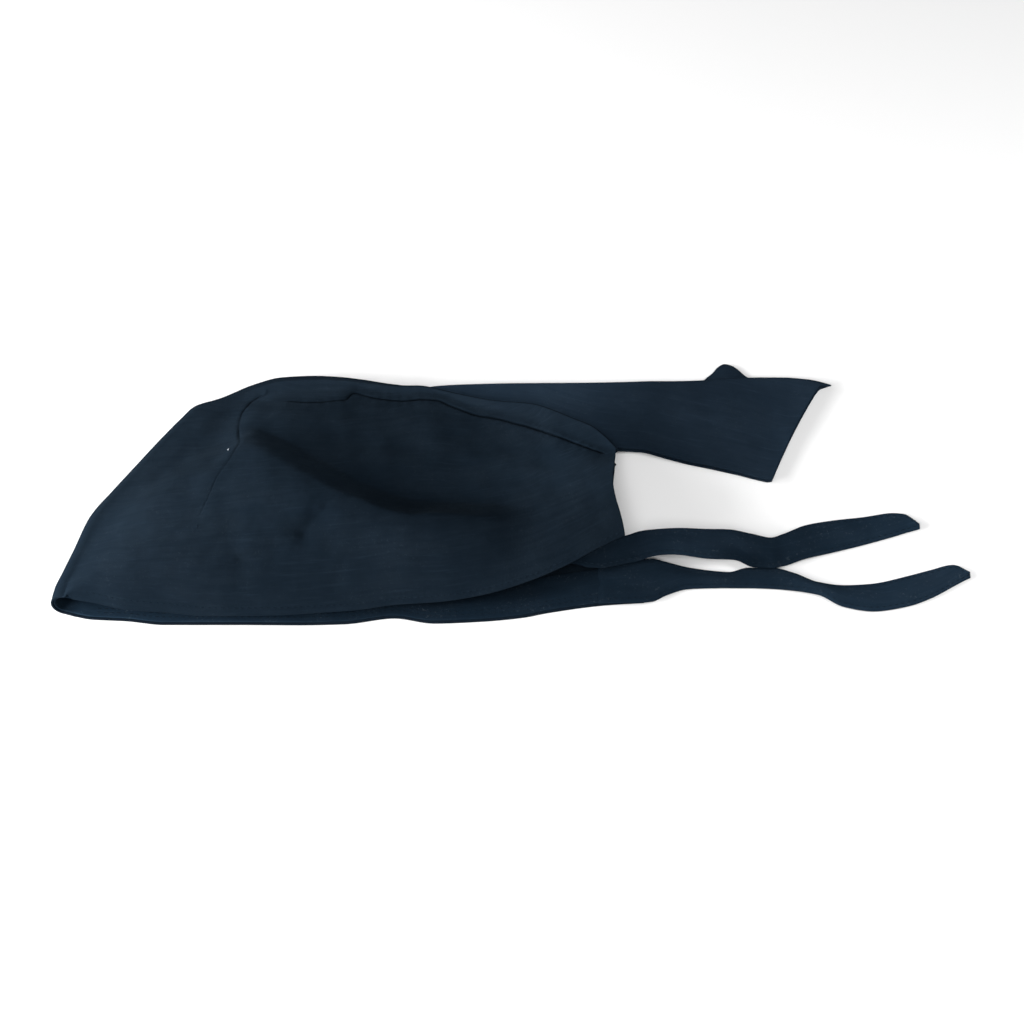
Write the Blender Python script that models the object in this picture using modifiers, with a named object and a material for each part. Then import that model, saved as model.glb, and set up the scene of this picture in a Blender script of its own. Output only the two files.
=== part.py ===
"""A patka: a cap of thin dark cotton, stitched to the shape of the head, with a tail flap and two flat ties.

It lies on its right side, flattened as soft cloth is, so its left side is on top. X runs from the brow at -X to the
ends of the ties at +X, Y from the hem at -Y to the crown at +Y, and the floor is Z = 0. Every cloth is an open
sheet drawn through sections, then given its thickness. Tables are in millimetres, the scene is in metres.
"""

from collections import namedtuple
from math import cos, pi, sin

import bmesh
import bpy
import numpy as np

MM = 0.001
CLOTH = 1.0  # thickness of one cloth wall
SEAT = 0.3  # space kept between two cloths that lie on each other
STEP = CLOTH + SEAT
BAND_SLACK = 0.5  # the band hangs this much lower from the upper side, whose facets cut across its curves
BAND_WIDTH = 20.0
BAND_INSET = 1.0  # from the hem's edge to the band's edge
BAND_ROWS = 5  # points across the band
BAND_COLUMNS = 28  # points along each side of it
BAND_TURN = 7  # points round the brow's turn
BAND_FRONT_X, BAND_FLOOR_END_X, BAND_UPPER_END_X = -200, 57, 47
BROW_LEAN = 0.22  # the brow's edge leans back by this for each millimetre up from the hem
BROW_X, BROW_REACH = -170, 32  # where the lean starts, and over how far it grows
TUCK = 6.0  # how far the crown's fold turns back over the tail
MIDDLE = (0.2, 0.55, 0.0)  # the middle of the whole outline in the tables below, which the origin goes under

SPLIT = 2  # columns of the cap's mesh between two rows of SECTIONS
PANEL_ROWS = 17  # steps from the upper hem to the crown
FOLD_ROWS = 8  # steps round the crown's fold
FLOOR_ROWS = 3  # steps from the crown back to the lower hem
SLIT_ROW = 5  # the step of the fold that is open where the tail comes out

Section = namedtuple("Section", "hem_x crown_x crown_y crown_top fold_radius floor_hem_x")
SECTIONS = [
    Section(-202, -212.5, -71.0, 13.0, 6.5, -202),
    Section(-197, -211.2, -63.0, 13.0, 6.5, -197),
    Section(-190, -208.6, -55.0, 13.0, 6.5, -190),
    Section(-179, -203.9, -40.5, 13.0, 6.5, -179),
    Section(-166, -197.8, -21.0, 13.0, 6.5, -166),
    Section(-158, -187.9, -4.8, 13.0, 6.5, -158),
    Section(-150, -177.4, 11.3, 13.0, 6.5, -150),
    Section(-143, -167.9, 25.8, 13.0, 6.5, -143),
    Section(-137, -158.3, 39.5, 13.0, 6.5, -137),
    Section(-131, -151.5, 47.9, 13.0, 6.5, -131),
    Section(-124, -139.5, 52.9, 13.0, 6.5, -124),
    Section(-115, -124.0, 61.6, 13.0, 6.5, -115),
    Section(-105, -110.5, 66.3, 13.0, 6.5, -105),
    Section(-92, -95.0, 67.3, 13.0, 6.5, -92),
    Section(-81, -83.0, 66.6, 13.0, 6.3, -81),
    Section(-70, -71.0, 64.8, 12.8, 5.8, -70),
    Section(-60, -60.0, 62.4, 12.6, 5.0, -60),
    Section(-51, -51.0, 60.8, 12.4, 4.0, -51),
    Section(-41, -41.0, 58.9, 12.4, 2.2, -41),
    Section(-25, -25.0, 53.6, 12.6, 1.7, -25),
    Section(-8, -8.0, 49.0, 13.0, 1.6, -8),
    Section(10, 10.0, 46.4, 13.6, 1.6, 11),
    Section(20, 19.5, 42.4, 13.8, 1.6, 22),
    Section(30, 29.0, 37.6, 13.4, 1.6, 33),
    Section(38, 38.0, 33.2, 12.8, 1.6, 43),
    Section(46, 44.5, 27.0, 12.4, 1.6, 53),
    Section(52.3, 50.2, 19.0, 12.4, 1.6, 61),
]
OPEN_FROM = 17  # the row of SECTIONS where the slit for the tail starts

HemPoint = namedtuple("HemPoint", "x y z")
UPPER_HEM = [
    HemPoint(-202, -73.4, 12.6),
    HemPoint(-191, -75.2, 11.8),
    HemPoint(-177, -78.2, 10.8),
    HemPoint(-160, -79.2, 10.1),
    HemPoint(-138, -80.9, 9.5),
    HemPoint(-108, -80.3, 9.5),
    HemPoint(-89, -78.9, 9.5),
    HemPoint(-71, -77.3, 9.7),
    HemPoint(-53, -74.6, 10.3),
    HemPoint(-33, -73.4, 11.0),
    HemPoint(-14, -70.3, 12.0),
    HemPoint(7, -63.9, 14.0),
    HemPoint(27, -55.3, 17.0),
    HemPoint(39, -48.4, 19.0),
    HemPoint(52.3, -41.1, 20.0),
]
FLOOR_HEM = [
    HemPoint(-202, -73.4, 0.0),
    HemPoint(-194, -75.2, 0.0),
    HemPoint(-178, -76.2, 0.0),
    HemPoint(-160, -78.4, 0.0),
    HemPoint(-125, -78.4, 0.0),
    HemPoint(-98, -78.6, 0.0),
    HemPoint(-77, -78.0, 0.0),
    HemPoint(-54, -74.6, 0.0),
    HemPoint(-36, -77.6, 0.0),
    HemPoint(-14, -76.5, 0.0),
    HemPoint(5, -74.2, 0.0),
    HemPoint(17, -71.3, 0.0),
    HemPoint(42, -67.0, 0.0),
    HemPoint(61, -65.4, 0.0),
]

# How far the upper side stands above the straight line from its hem to the crown, along X.
Puff = namedtuple("Puff", "x height")
PUFFS = [
    Puff(-213, 0.0),
    Puff(-200, 3.0),
    Puff(-185, 8.0),
    Puff(-165, 13.0),
    Puff(-140, 17.0),
    Puff(-110, 20.0),
    Puff(-70, 21.0),
    Puff(-30, 20.0),
    Puff(0, 17.0),
    Puff(30, 12.0),
    Puff(55, 8.0),
]
PUFF_RISE, PUFF_FALL = 1.10, 1.35  # powers that shape the rise from the hem and the fall to the crown

# Dents and ridges of the upper side: each follows a straight run seen from above, and fades out over its width.
Fold = namedtuple("Fold", "name x0 y0 x1 y1 width height")
FOLDS = [
    Fold("long dent, crown end", -124, 19, -92, -4, 13, -4.0),
    Fold("long dent, middle", -92, -4, -65, -21, 13, -5.0),
    Fold("long dent, hem end", -65, -21, -40, -31, 12, -6.0),
    Fold("pocket", -38, -30, 8, -26, 11, -6.0),
    Fold("lip under the pocket", -54, -46, 4, -44, 10, 2.5),
    Fold("crescent dent", -91, -30, -97, -47, 9, -2.5),
    Fold("small crease", -124, -55, -103, -49, 8, -1.4),
    Fold("hollow under the crown", -76, 15, -62, 6, 12, -2.0),
    Fold("hollow above the corner", -8, 8, 22, 5, 12, -2.2),
    Fold("brow swell", -186, -45, -160, -5, 20, 2.0),
    Fold("dart", -145, -37, -130, 6, 6, -1.3),
    Fold("dart, crown end", -130, 6, -127, 38, 6, -1.3),
    Fold("crown seam", -111, 43.5, -40, 45, 6, -1.2),
    Fold("crown seam, falling", -40, 45, 12, 23.5, 6, -1.2),
    Fold("crown seam, end", 12, 23.5, 45, 13, 6, -1.2),
]
FOLD_FADE = 16.0  # folds die out over this distance from the hem and the crown
BACK_BOW = 3.4  # how far the back edge of the upper side curves in
FLOOR_BACK_BOW = 6.5  # and that of the lower side
BACK_X, BACK_REACH = 30, 22  # where the bow starts, and over how far it grows

TailRow = namedtuple("TailRow", "edge_x edge_y fold_x fold_y floor loft")
TAIL = [
    TailRow(-43, 53.0, -46, 62.6, 1.6, 1.8),
    TailRow(-34, 49.0, -36, 64.6, 1.8, 2.2),
    TailRow(-22, 45.0, -22, 65.2, 2.0, 2.6),
    TailRow(-6, 40.5, -6, 65.8, 2.0, 2.6),
    TailRow(11, 38.0, 11, 66.3, 1.7, 2.6),
    TailRow(25, 32.0, 26, 66.7, 1.5, 2.4),
    TailRow(38, 27.5, 40, 67.1, 1.4, 2.2),
    TailRow(50, 26.0, 53, 67.6, 1.4, 2.0),
    TailRow(61, 25.4, 66, 68.4, 1.2, 1.8),
    TailRow(73, 22.0, 79, 69.2, 0.5, 1.6),
    TailRow(84, 18.7, 92, 70.2, 0.0, 1.6),
    TailRow(96, 15.4, 107, 71.3, 0.0, 2.0),
    TailRow(108, 11.8, 121, 71.9, 0.0, 1.8),
    TailRow(115, 9.4, 131, 72.0, 0.0, 1.5),
    TailRow(120.8, 7.8, 140, 71.0, 0.0, 1.4),
    TailRow(122.8, 8.2, 148.4, 67.7, 0.0, 1.4),
]
TAIL_SPLIT = 2
TAIL_ROWS = 7  # steps across each layer of the tail
TAIL_FOLD_ROWS = 4
TAIL_TIP = 5.0  # how far the rolled corner of the fold reaches past the end edge
TAIL_TIP_WIDTH = 0.09  # share of the tail's width that draws out into the tip
TAIL_END_BOW = 1.5
TAIL_END_COLUMNS = 4  # the columns over which the tip and the bow grow
TAIL_RIPPLE, RIPPLE_START, RIPPLE_TURN = 0.6, 2.3, 0.55  # height, first angle and angle from column to column
TAIL_SETTLE = 1.6  # how soon the upper layer rises from its free edge to its full loft
# The corner of the lower layer that shows beyond the fold, as (x, y) round its outline.
TailCorner = namedtuple("TailCorner", "x y")
TAIL_CORNER = [
    TailCorner(88, 62),
    TailCorner(92.5, 71.5),
    TailCorner(96.5, 76.0),
    TailCorner(99.5, 80.2),
    TailCorner(102.5, 82.0),
    TailCorner(105.8, 81.0),
    TailCorner(109.0, 78.2),
    TailCorner(112.0, 74.6),
    TailCorner(116.5, 71.0),
    TailCorner(116, 62),
]

TieRow = namedtuple("TieRow", "x near_y far_y near_z far_z arch")
LEFT_TIE = [
    TieRow(38, -55.6, -41.0, 10.6, 18.5, 0.0),
    TieRow(46, -54.4, -40.8, 9.9, 17.1, 0.0),
    TieRow(53, -52.0, -39.4, 10.8, 17.4, 0.2),
    TieRow(59, -49.6, -36.4, 11.2, 16.9, 0.4),
    TieRow(66, -46.6, -33.6, 10.8, 15.4, 0.8),
    TieRow(78, -44.4, -31.2, 9.2, 13.0, 1.2),
    TieRow(90, -45.3, -29.8, 6.8, 10.8, 1.4),
    TieRow(103, -44.4, -28.0, 4.6, 8.2, 2.4),
    TieRow(112, -46.2, -29.0, 3.2, 6.0, 3.0),
    TieRow(120, -46.4, -30.4, 2.8, 5.0, 2.4),
    TieRow(127, -45.0, -27.4, 2.4, 4.2, 1.6),
    TieRow(137, -40.4, -21.6, 1.6, 3.2, 1.4),
    TieRow(150, -36.0, -17.8, 0.9, 2.2, 1.2),
    TieRow(165, -31.0, -15.0, 0.5, 1.4, 1.0),
    TieRow(178, -26.4, -12.2, 0.5, 1.0, 0.6),
    TieRow(184, -24.0, -12.8, 0.5, 1.0, 0.4),
    TieRow(191, -21.6, -18.6, 0.5, 0.8, 0.2),
]
RIGHT_TIE = [
    TieRow(44, -65.2, -46.0, 3.1, 3.1, 0.0),
    TieRow(53, -65.4, -44.0, 3.1, 3.1, 0.0),
    TieRow(60, -65.8, -42.2, 3.1, 3.1, 0.2),
    TieRow(65, -65.4, -41.2, 2.4, 2.8, 0.6),
    TieRow(72, -61.6, -42.8, 1.2, 1.6, 1.2),
    TieRow(82, -57.8, -45.0, 0.5, 0.8, 1.6),
    TieRow(94, -57.3, -47.0, 0.5, 0.6, 1.2),
    TieRow(101, -57.2, -47.6, 0.5, 0.6, 1.0),
    TieRow(110, -57.2, -45.0, 0.5, 0.6, 0.8),
    TieRow(121, -57.7, -45.0, 0.5, 0.6, 0.8),
    TieRow(131, -59.0, -48.6, 0.5, 1.2, 1.6),
    TieRow(142, -61.6, -54.4, 0.5, 1.6, 2.0),
    TieRow(153, -68.4, -56.0, 0.5, 1.2, 1.6),
    TieRow(167, -71.0, -54.8, 0.5, 0.8, 1.4),
    TieRow(183, -68.0, -50.4, 0.5, 0.8, 1.2),
    TieRow(194, -63.2, -46.6, 0.5, 0.6, 0.8),
    TieRow(205, -56.0, -43.2, 0.5, 0.5, 0.4),
    TieRow(212.9, -50.6, -47.4, 0.5, 0.5, 0.0),
]
TIE_SPLIT = 2
TIE_ROWS = 4

# Colours are linear RGB.
NAVY_COTTON = (0.0120, 0.0205, 0.0330)
BAND_COTTON = (0.0095, 0.0165, 0.0270)
TIE_COTTON = (0.0150, 0.0260, 0.0400)
COTTON_ROUGHNESS = 0.92


def clear_scene():
    for obj in list(bpy.data.objects):
        bpy.data.objects.remove(obj, do_unlink=True)


def smooth_curve(known, values, wanted):
    """Values at the wanted places, on a cubic curve through the known ones that never swings past a neighbour."""
    known, values, wanted = (np.asarray(a, float) for a in (known, values, wanted))
    slopes = np.diff(values) / np.diff(known)
    tangents = np.zeros_like(values)
    same_way = slopes[1:] * slopes[:-1] > 0
    tangents[1:-1][same_way] = (2 * slopes[1:] * slopes[:-1])[same_way] / (slopes[1:] + slopes[:-1])[same_way]
    tangents[0], tangents[-1] = slopes[0], slopes[-1]
    left = np.clip(np.searchsorted(known, wanted, side="right") - 1, 0, len(known) - 2)
    width = (known[1:] - known[:-1])[left]
    t = np.clip((wanted - known[left]) / width, 0, 1)
    rest = 1 - t
    return (
        values[left] * (1 + 2 * t) * rest**2
        + tangents[left] * width * t * rest**2
        + values[left + 1] * t**2 * (3 - 2 * t)
        - tangents[left + 1] * width * t**2 * rest
    )


def column(table, name):
    return np.array([getattr(row, name) for row in table], float)


def spread(table, name, split):
    """A column of a table, with split steps from each row to the next."""
    steps = np.arange(split * (len(table) - 1) + 1) / split
    return smooth_curve(np.arange(len(table)), column(table, name), steps)


def along(table, name, x):
    return smooth_curve(column(table, "x"), column(table, name), x)


def smooth_step(share):
    share = np.clip(share, 0, 1)
    return share**2 * (3 - 2 * share)


class Crown:
    """The folded edge from the brow's hem over the crown to the back, seen from above."""

    def __init__(self, split):
        self.x = spread(SECTIONS, "crown_x", split)
        self.y = spread(SECTIONS, "crown_y", split)
        self.top = spread(SECTIONS, "crown_top", split)
        self.radius = spread(SECTIONS, "fold_radius", split)
        run = np.stack([np.gradient(self.x), np.gradient(self.y)])
        run /= np.linalg.norm(run, axis=0)
        self.out = np.stack([-run[1], run[0]])
        self.centre = np.stack([self.x, self.y]) - self.out * self.radius
        steps = np.hypot(np.diff(self.centre[0]), np.diff(self.centre[1]))
        self.length = np.concatenate([[0], np.cumsum(steps)])


CROWN = Crown(SPLIT)
FINE_CROWN = Crown(4 * SPLIT)


def hump(share):
    """From 0 at the hem to 1 where the cloth stands highest, and back to 0 at the crown."""
    peak = PUFF_RISE / (PUFF_RISE + PUFF_FALL)
    highest = peak**PUFF_RISE * (1 - peak) ** PUFF_FALL
    return share**PUFF_RISE * (1 - share) ** PUFF_FALL / highest


def distance_to_run(x, y, fold):
    start = np.array([fold.x0, fold.y0], float)
    run = np.array([fold.x1, fold.y1], float) - start
    share = np.clip(((x - start[0]) * run[0] + (y - start[1]) * run[1]) / (run @ run), 0, 1)
    return np.hypot(x - start[0] - share * run[0], y - start[1] - share * run[1])


def upper_height(x, y):
    """Height of the upper side's outer face over the point (x, y)."""
    x, y = np.asarray(x, float), np.asarray(y, float)
    from_hem = np.maximum(y - along(UPPER_HEM, "y", x), 0)
    far = np.hypot(x[..., None] - FINE_CROWN.centre[0], y[..., None] - FINE_CROWN.centre[1])
    nearest = far.argmin(axis=-1)
    from_crown = far.min(axis=-1)
    share = from_hem / np.maximum(from_hem + from_crown, 1e-6)
    hem_z = along(UPPER_HEM, "z", x)
    height = hem_z + (FINE_CROWN.top[nearest] - hem_z) * smooth_step(share)
    height = height + along(PUFFS, "height", x) * hump(share)
    fade = smooth_step(np.minimum(from_hem, from_crown) / FOLD_FADE)
    for fold in FOLDS:
        height = height + fade * fold.height * np.exp(-((distance_to_run(x, y, fold) / fold.width) ** 2))
    return height


def cap_points():
    """The cap's outer face, row by row from the upper hem over the crown to the lower hem."""
    hem_x = spread(SECTIONS, "hem_x", SPLIT)
    floor_x = spread(SECTIONS, "floor_hem_x", SPLIT)
    sections = []
    for i in range(len(hem_x)):
        share = np.linspace(0, 1, PANEL_ROWS + 1)
        centre_x, centre_y = CROWN.centre[:, i]
        x = hem_x[i] + (centre_x - hem_x[i]) * share
        hem_y = along(UPPER_HEM, "y", hem_x[i])
        y = hem_y + (centre_y - hem_y) * share
        z = upper_height(x, y)
        behind = smooth_step((hem_x[i] - BACK_X) / BACK_REACH)
        x = x - BACK_BOW * behind * np.sin(pi * share) ** 1.5
        upper = np.stack([x, y, z], axis=1)
        lower = floor_points(i, floor_x[i], FLOOR_BACK_BOW * behind)
        sections.append(np.concatenate([upper, fold_points(i), lower]))
    return np.stack(sections, axis=1)


def fold_points(i):
    """Round the crown's fold: closed down to the floor, or, where the tail comes out, a turned edge and a gap."""
    centre, out = CROWN.centre[:, i], CROWN.out[:, i]
    radius, top = CROWN.radius[i], CROWN.top[i]
    open_part = smooth_step((i / SPLIT - OPEN_FROM + 0.5) / 1.5)
    points = []
    for step in range(1, FOLD_ROWS + 1):
        angle = pi * step / FOLD_ROWS
        closed_z = top * (1 + cos(angle)) / 2
        closed = [*(centre + out * radius * sin(angle)), closed_z]
        if step < SLIT_ROW:
            turn = pi * step / (SLIT_ROW - 2)
            back = max(0, step - (SLIT_ROW - 2)) * TUCK
            reach = radius * sin(min(turn, pi)) - back
            opened = [*(centre + out * reach), top - radius * (1 - cos(min(turn, pi)))]
        else:
            opened = [*(centre + out * radius * (FOLD_ROWS - step) / FOLD_ROWS), 0.0]
        points.append(np.array(closed) * (1 - open_part) + np.array(opened) * open_part)
    return np.array(points)


def floor_points(i, hem_x, bow):
    """Flat on the floor, from under the crown back to the lower hem."""
    share = np.linspace(0, 1, FLOOR_ROWS + 1)[1:]
    centre_x, centre_y = CROWN.centre[:, i]
    hem_y = along(FLOOR_HEM, "y", hem_x)
    x = centre_x + (hem_x - centre_x) * share - bow * np.sin(pi * share)
    y = centre_y + (hem_y - centre_y) * share
    return np.stack([x, y, np.zeros_like(x)], axis=1)


def band_points():
    """The hem band's outer face: rows across its width, columns from the lower hem's back end round the brow
    to the upper hem's back end."""
    rows = []
    for across in np.linspace(BAND_INSET, BAND_INSET + BAND_WIDTH, BAND_ROWS):
        floor_x = np.linspace(BAND_FLOOR_END_X, BAND_FRONT_X, BAND_COLUMNS)
        lean = BROW_LEAN * across * smooth_step((BROW_X - floor_x) / BROW_REACH)
        floor_y = along(FLOOR_HEM, "y", floor_x) + across
        lower = np.stack([floor_x + lean, floor_y, np.full_like(floor_x, STEP)], axis=1)

        index = np.interp(across, FINE_CROWN.length, np.arange(len(FINE_CROWN.length)))
        centre = np.array([np.interp(index, np.arange(len(c)), c) for c in FINE_CROWN.centre])
        out = FINE_CROWN.out[:, int(round(index))]
        radius = FINE_CROWN.radius[0] - STEP
        turn = [
            [*(centre + out * radius * sin(angle)), FINE_CROWN.radius[0] + radius * cos(angle)]
            for angle in np.linspace(pi, 0, BAND_TURN)
        ]

        upper_x = np.linspace(BAND_FRONT_X, BAND_UPPER_END_X, BAND_COLUMNS)
        lean = BROW_LEAN * across * smooth_step((BROW_X - upper_x) / BROW_REACH)
        upper_y = along(UPPER_HEM, "y", upper_x) + across
        x = upper_x + lean
        slope_x = upper_height(x + 0.5, upper_y) - upper_height(x - 0.5, upper_y)
        slope_y = upper_height(x, upper_y + 0.5) - upper_height(x, upper_y - 0.5)
        drop = (STEP + BAND_SLACK) * np.sqrt(1 + slope_x**2 + slope_y**2)
        upper = np.stack([x, upper_y, upper_height(x, upper_y) - drop], axis=1)
        rows.append(np.concatenate([lower, np.array(turn), upper]))
    return np.stack(rows)


def tail_points():
    """The tail's outer face, from the upper layer's free edge round the fold to the lower layer's free edge."""
    edge = np.stack([spread(TAIL, "edge_x", TAIL_SPLIT), spread(TAIL, "edge_y", TAIL_SPLIT)])
    fold = np.stack([spread(TAIL, "fold_x", TAIL_SPLIT), spread(TAIL, "fold_y", TAIL_SPLIT)])
    floor = spread(TAIL, "floor", TAIL_SPLIT)
    loft = spread(TAIL, "loft", TAIL_SPLIT)
    count = edge.shape[1]
    share = np.linspace(0, 1, TAIL_ROWS + 1)
    sections = []
    for i in range(count):
        radius = CLOTH + loft[i] / 2
        inner = fold[:, i] + (edge[:, i] - fold[:, i]) * radius / np.linalg.norm(edge[:, i] - fold[:, i])
        out = (fold[:, i] - inner) / radius
        flat = edge[:, i, None] + (inner - edge[:, i])[:, None] * share
        ripple = TAIL_RIPPLE * np.sin(pi * share) * sin(RIPPLE_START + RIPPLE_TURN * i)
        lift = 2 * radius - loft[i] / 2 * (1 - smooth_step(share * TAIL_SETTLE))
        upper = np.stack([*flat, floor[i] + lift + ripple], axis=1)
        turn = []
        for step in range(1, TAIL_FOLD_ROWS):
            angle = pi * step / TAIL_FOLD_ROWS
            turn.append([*(inner + out * radius * sin(angle)), floor[i] + radius * (1 + cos(angle))])
        lower = np.stack([*flat[:, ::-1], np.full(TAIL_ROWS + 1, floor[i])], axis=1)
        section = np.concatenate([upper, np.array(turn), lower])
        sections.append(section + end_shape(i, count, len(section)))
    return np.stack(sections, axis=1)


def end_shape(i, count, rows):
    """How far each point of a tail section moves along X: the end edge bows in and its fold draws out to a tip."""
    near_end = smooth_step((i + 1 - count) / TAIL_END_COLUMNS + 1)
    from_fold = np.abs(np.linspace(-1, 1, rows))
    pull = TAIL_TIP * np.exp(-((from_fold / TAIL_TIP_WIDTH) ** 2)) - TAIL_END_BOW * np.sin(pi * from_fold)
    shift = np.zeros((rows, 3))
    shift[:, 0] = near_end * pull
    return shift


def tie_points(table):
    """A flat tie's middle face, row by row across its width."""
    spread_of = {name: spread(table, name, TIE_SPLIT) for name in TieRow._fields}
    rows = []
    for share in np.linspace(0, 1, TIE_ROWS + 1):
        y = spread_of["near_y"] + (spread_of["far_y"] - spread_of["near_y"]) * share
        z = spread_of["near_z"] + (spread_of["far_z"] - spread_of["near_z"]) * share
        rows.append(np.stack([spread_of["x"], y, z + spread_of["arch"] * sin(pi * share)], axis=1))
    return np.stack(rows)


def cotton(name, colour):
    material = bpy.data.materials.new(name)
    material.use_nodes = True
    shader = material.node_tree.nodes["Principled BSDF"]
    shader.inputs["Base Color"].default_value = (*colour, 1)
    shader.inputs["Roughness"].default_value = COTTON_ROUGHNESS
    shader.inputs["Metallic"].default_value = 0.0
    material.diffuse_color = (*colour, 1)
    return material


def sheet(name, points, material, collection, offset=-1, opening=None):
    """A cloth of even thickness through rows of points. The faces that opening(row, column) names are left out."""
    rows, columns = points.shape[:2]
    bm = bmesh.new()
    bmesh.ops.create_grid(bm, x_segments=columns - 1, y_segments=rows - 1, size=1)
    bm.verts.ensure_lookup_table()
    for vert, place in zip(bm.verts, (points.reshape(-1, 3) - MIDDLE) * MM):
        vert.co = place
    if opening:
        corner = {face: divmod(min(vert.index for vert in face.verts), columns) for face in bm.faces}
        left_out = [face for face, place in corner.items() if opening(*place)]
        bmesh.ops.delete(bm, geom=left_out, context="FACES")
    mesh = bpy.data.meshes.new(name)
    bm.to_mesh(mesh)
    bm.free()
    mesh.shade_smooth()
    obj = bpy.data.objects.new(name, mesh)
    collection.objects.link(obj)
    wall = obj.modifiers.new("wall", "SOLIDIFY")
    wall.thickness = CLOTH * MM
    wall.offset = offset
    mesh.materials.append(material)
    return obj


def cap_cloth(collection):
    slit_row = PANEL_ROWS + SLIT_ROW - 1

    def slit(row, column):
        return row == slit_row and column >= OPEN_FROM * SPLIT

    material = cotton("navy_cotton", NAVY_COTTON)
    return sheet("cap_cloth", cap_points(), material, collection, opening=slit)


def hem_band(collection):
    return sheet("hem_band", band_points(), cotton("band_cotton", BAND_COTTON), collection)


def tail(collection):
    """The folded flap, with the corner of its lower layer joined on where it reaches past the fold."""
    flap = sheet("tail", tail_points(), cotton("tail_cotton", NAVY_COTTON), collection)
    outline = bmesh.new()
    for point in TAIL_CORNER:
        place = (np.array([point.x, point.y, 0.1 * CLOTH]) - MIDDLE) * MM
        outline.verts.new(place)
    face = outline.faces.new(outline.verts)
    lifted = bmesh.ops.extrude_face_region(outline, geom=[face])["geom"]
    risen = [item for item in lifted if isinstance(item, bmesh.types.BMVert)]
    bmesh.ops.translate(outline, verts=risen, vec=(0, 0, 0.8 * CLOTH * MM))
    bmesh.ops.recalc_face_normals(outline, faces=outline.faces)
    mesh = bpy.data.meshes.new("tail_corner")
    outline.to_mesh(mesh)
    outline.free()
    corner = bpy.data.objects.new("tail_corner", mesh)
    corner.hide_render = True
    corner.display_type = "WIRE"
    joined = bpy.data.collections.new("joined shapes")
    bpy.context.scene.collection.children.link(joined)
    joined.objects.link(corner)
    union = flap.modifiers.new("corner", "BOOLEAN")
    union.operation = "UNION"
    union.object = corner
    return flap


def tie(name, table, collection):
    return sheet(name, tie_points(table), cotton(name + "_cotton", TIE_COTTON), collection, offset=0)


def main():
    clear_scene()
    patka = bpy.data.collections.new("patka")
    bpy.context.scene.collection.children.link(patka)
    cap_cloth(patka)
    hem_band(patka)
    tail(patka)
    tie("left_tie", LEFT_TIE, patka)
    tie("right_tie", RIGHT_TIE, patka)


main()
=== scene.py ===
from collections import namedtuple
from math import cos, pi, radians, sin

import bmesh
import bpy
import numpy as np
from mathutils import Matrix, Vector


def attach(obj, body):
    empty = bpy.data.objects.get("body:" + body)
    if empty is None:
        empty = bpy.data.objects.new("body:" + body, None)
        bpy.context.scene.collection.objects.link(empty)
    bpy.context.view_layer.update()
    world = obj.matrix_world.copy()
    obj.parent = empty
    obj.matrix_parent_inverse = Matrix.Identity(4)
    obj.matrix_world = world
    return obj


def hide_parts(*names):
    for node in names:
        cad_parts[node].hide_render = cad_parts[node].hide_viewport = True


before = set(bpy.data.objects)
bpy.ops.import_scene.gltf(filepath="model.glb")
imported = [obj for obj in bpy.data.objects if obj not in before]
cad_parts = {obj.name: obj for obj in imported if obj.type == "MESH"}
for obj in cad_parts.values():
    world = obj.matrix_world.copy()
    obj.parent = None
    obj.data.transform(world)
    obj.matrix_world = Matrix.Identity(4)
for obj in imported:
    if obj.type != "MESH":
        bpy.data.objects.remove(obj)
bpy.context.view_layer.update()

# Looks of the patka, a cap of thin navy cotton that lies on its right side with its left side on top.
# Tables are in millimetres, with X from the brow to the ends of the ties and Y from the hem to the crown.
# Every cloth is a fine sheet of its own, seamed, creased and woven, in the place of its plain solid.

MM = 0.001
MIDDLE = np.array([0.2, 0.55, 0.0])  # the point of the tables that the origin is under

CLOTH = 0.8  # thickness of one wall of cotton
EDGE_ROUND = 0.22  # rounding of a cut or turned edge
SOLID_WALL = 1.0  # wall of the plain solids, which the outer faces follow
BAND_DROP = 1.15  # from the cap's outer face down to the band's
BAND_WIDTH = 20.0
BAND_INSET = 0.7
TUCK = 6.0  # how far the crown's fold turns back over the tail

PANEL_ROWS = 126  # mesh steps from the upper hem to the crown
SEAM_ROWS = 5  # of these, how many lie close together on each side of the crown seam
CAP_COLUMNS = 236
DART_COLUMNS = 5
CLOSE = 0.36  # length of a close step as a share of an ordinary one
FOLD_ROWS = 24
FLOOR_ROWS = 22
SLIT_ROW = 15  # the step of the fold that is open where the tail comes out
TURN_ROWS = 9  # steps in which the crown's edge turns round over the tail
LIP_REACH = 0.4  # how far the edge below the slit reaches out, as a share of the fold's radius

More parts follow.
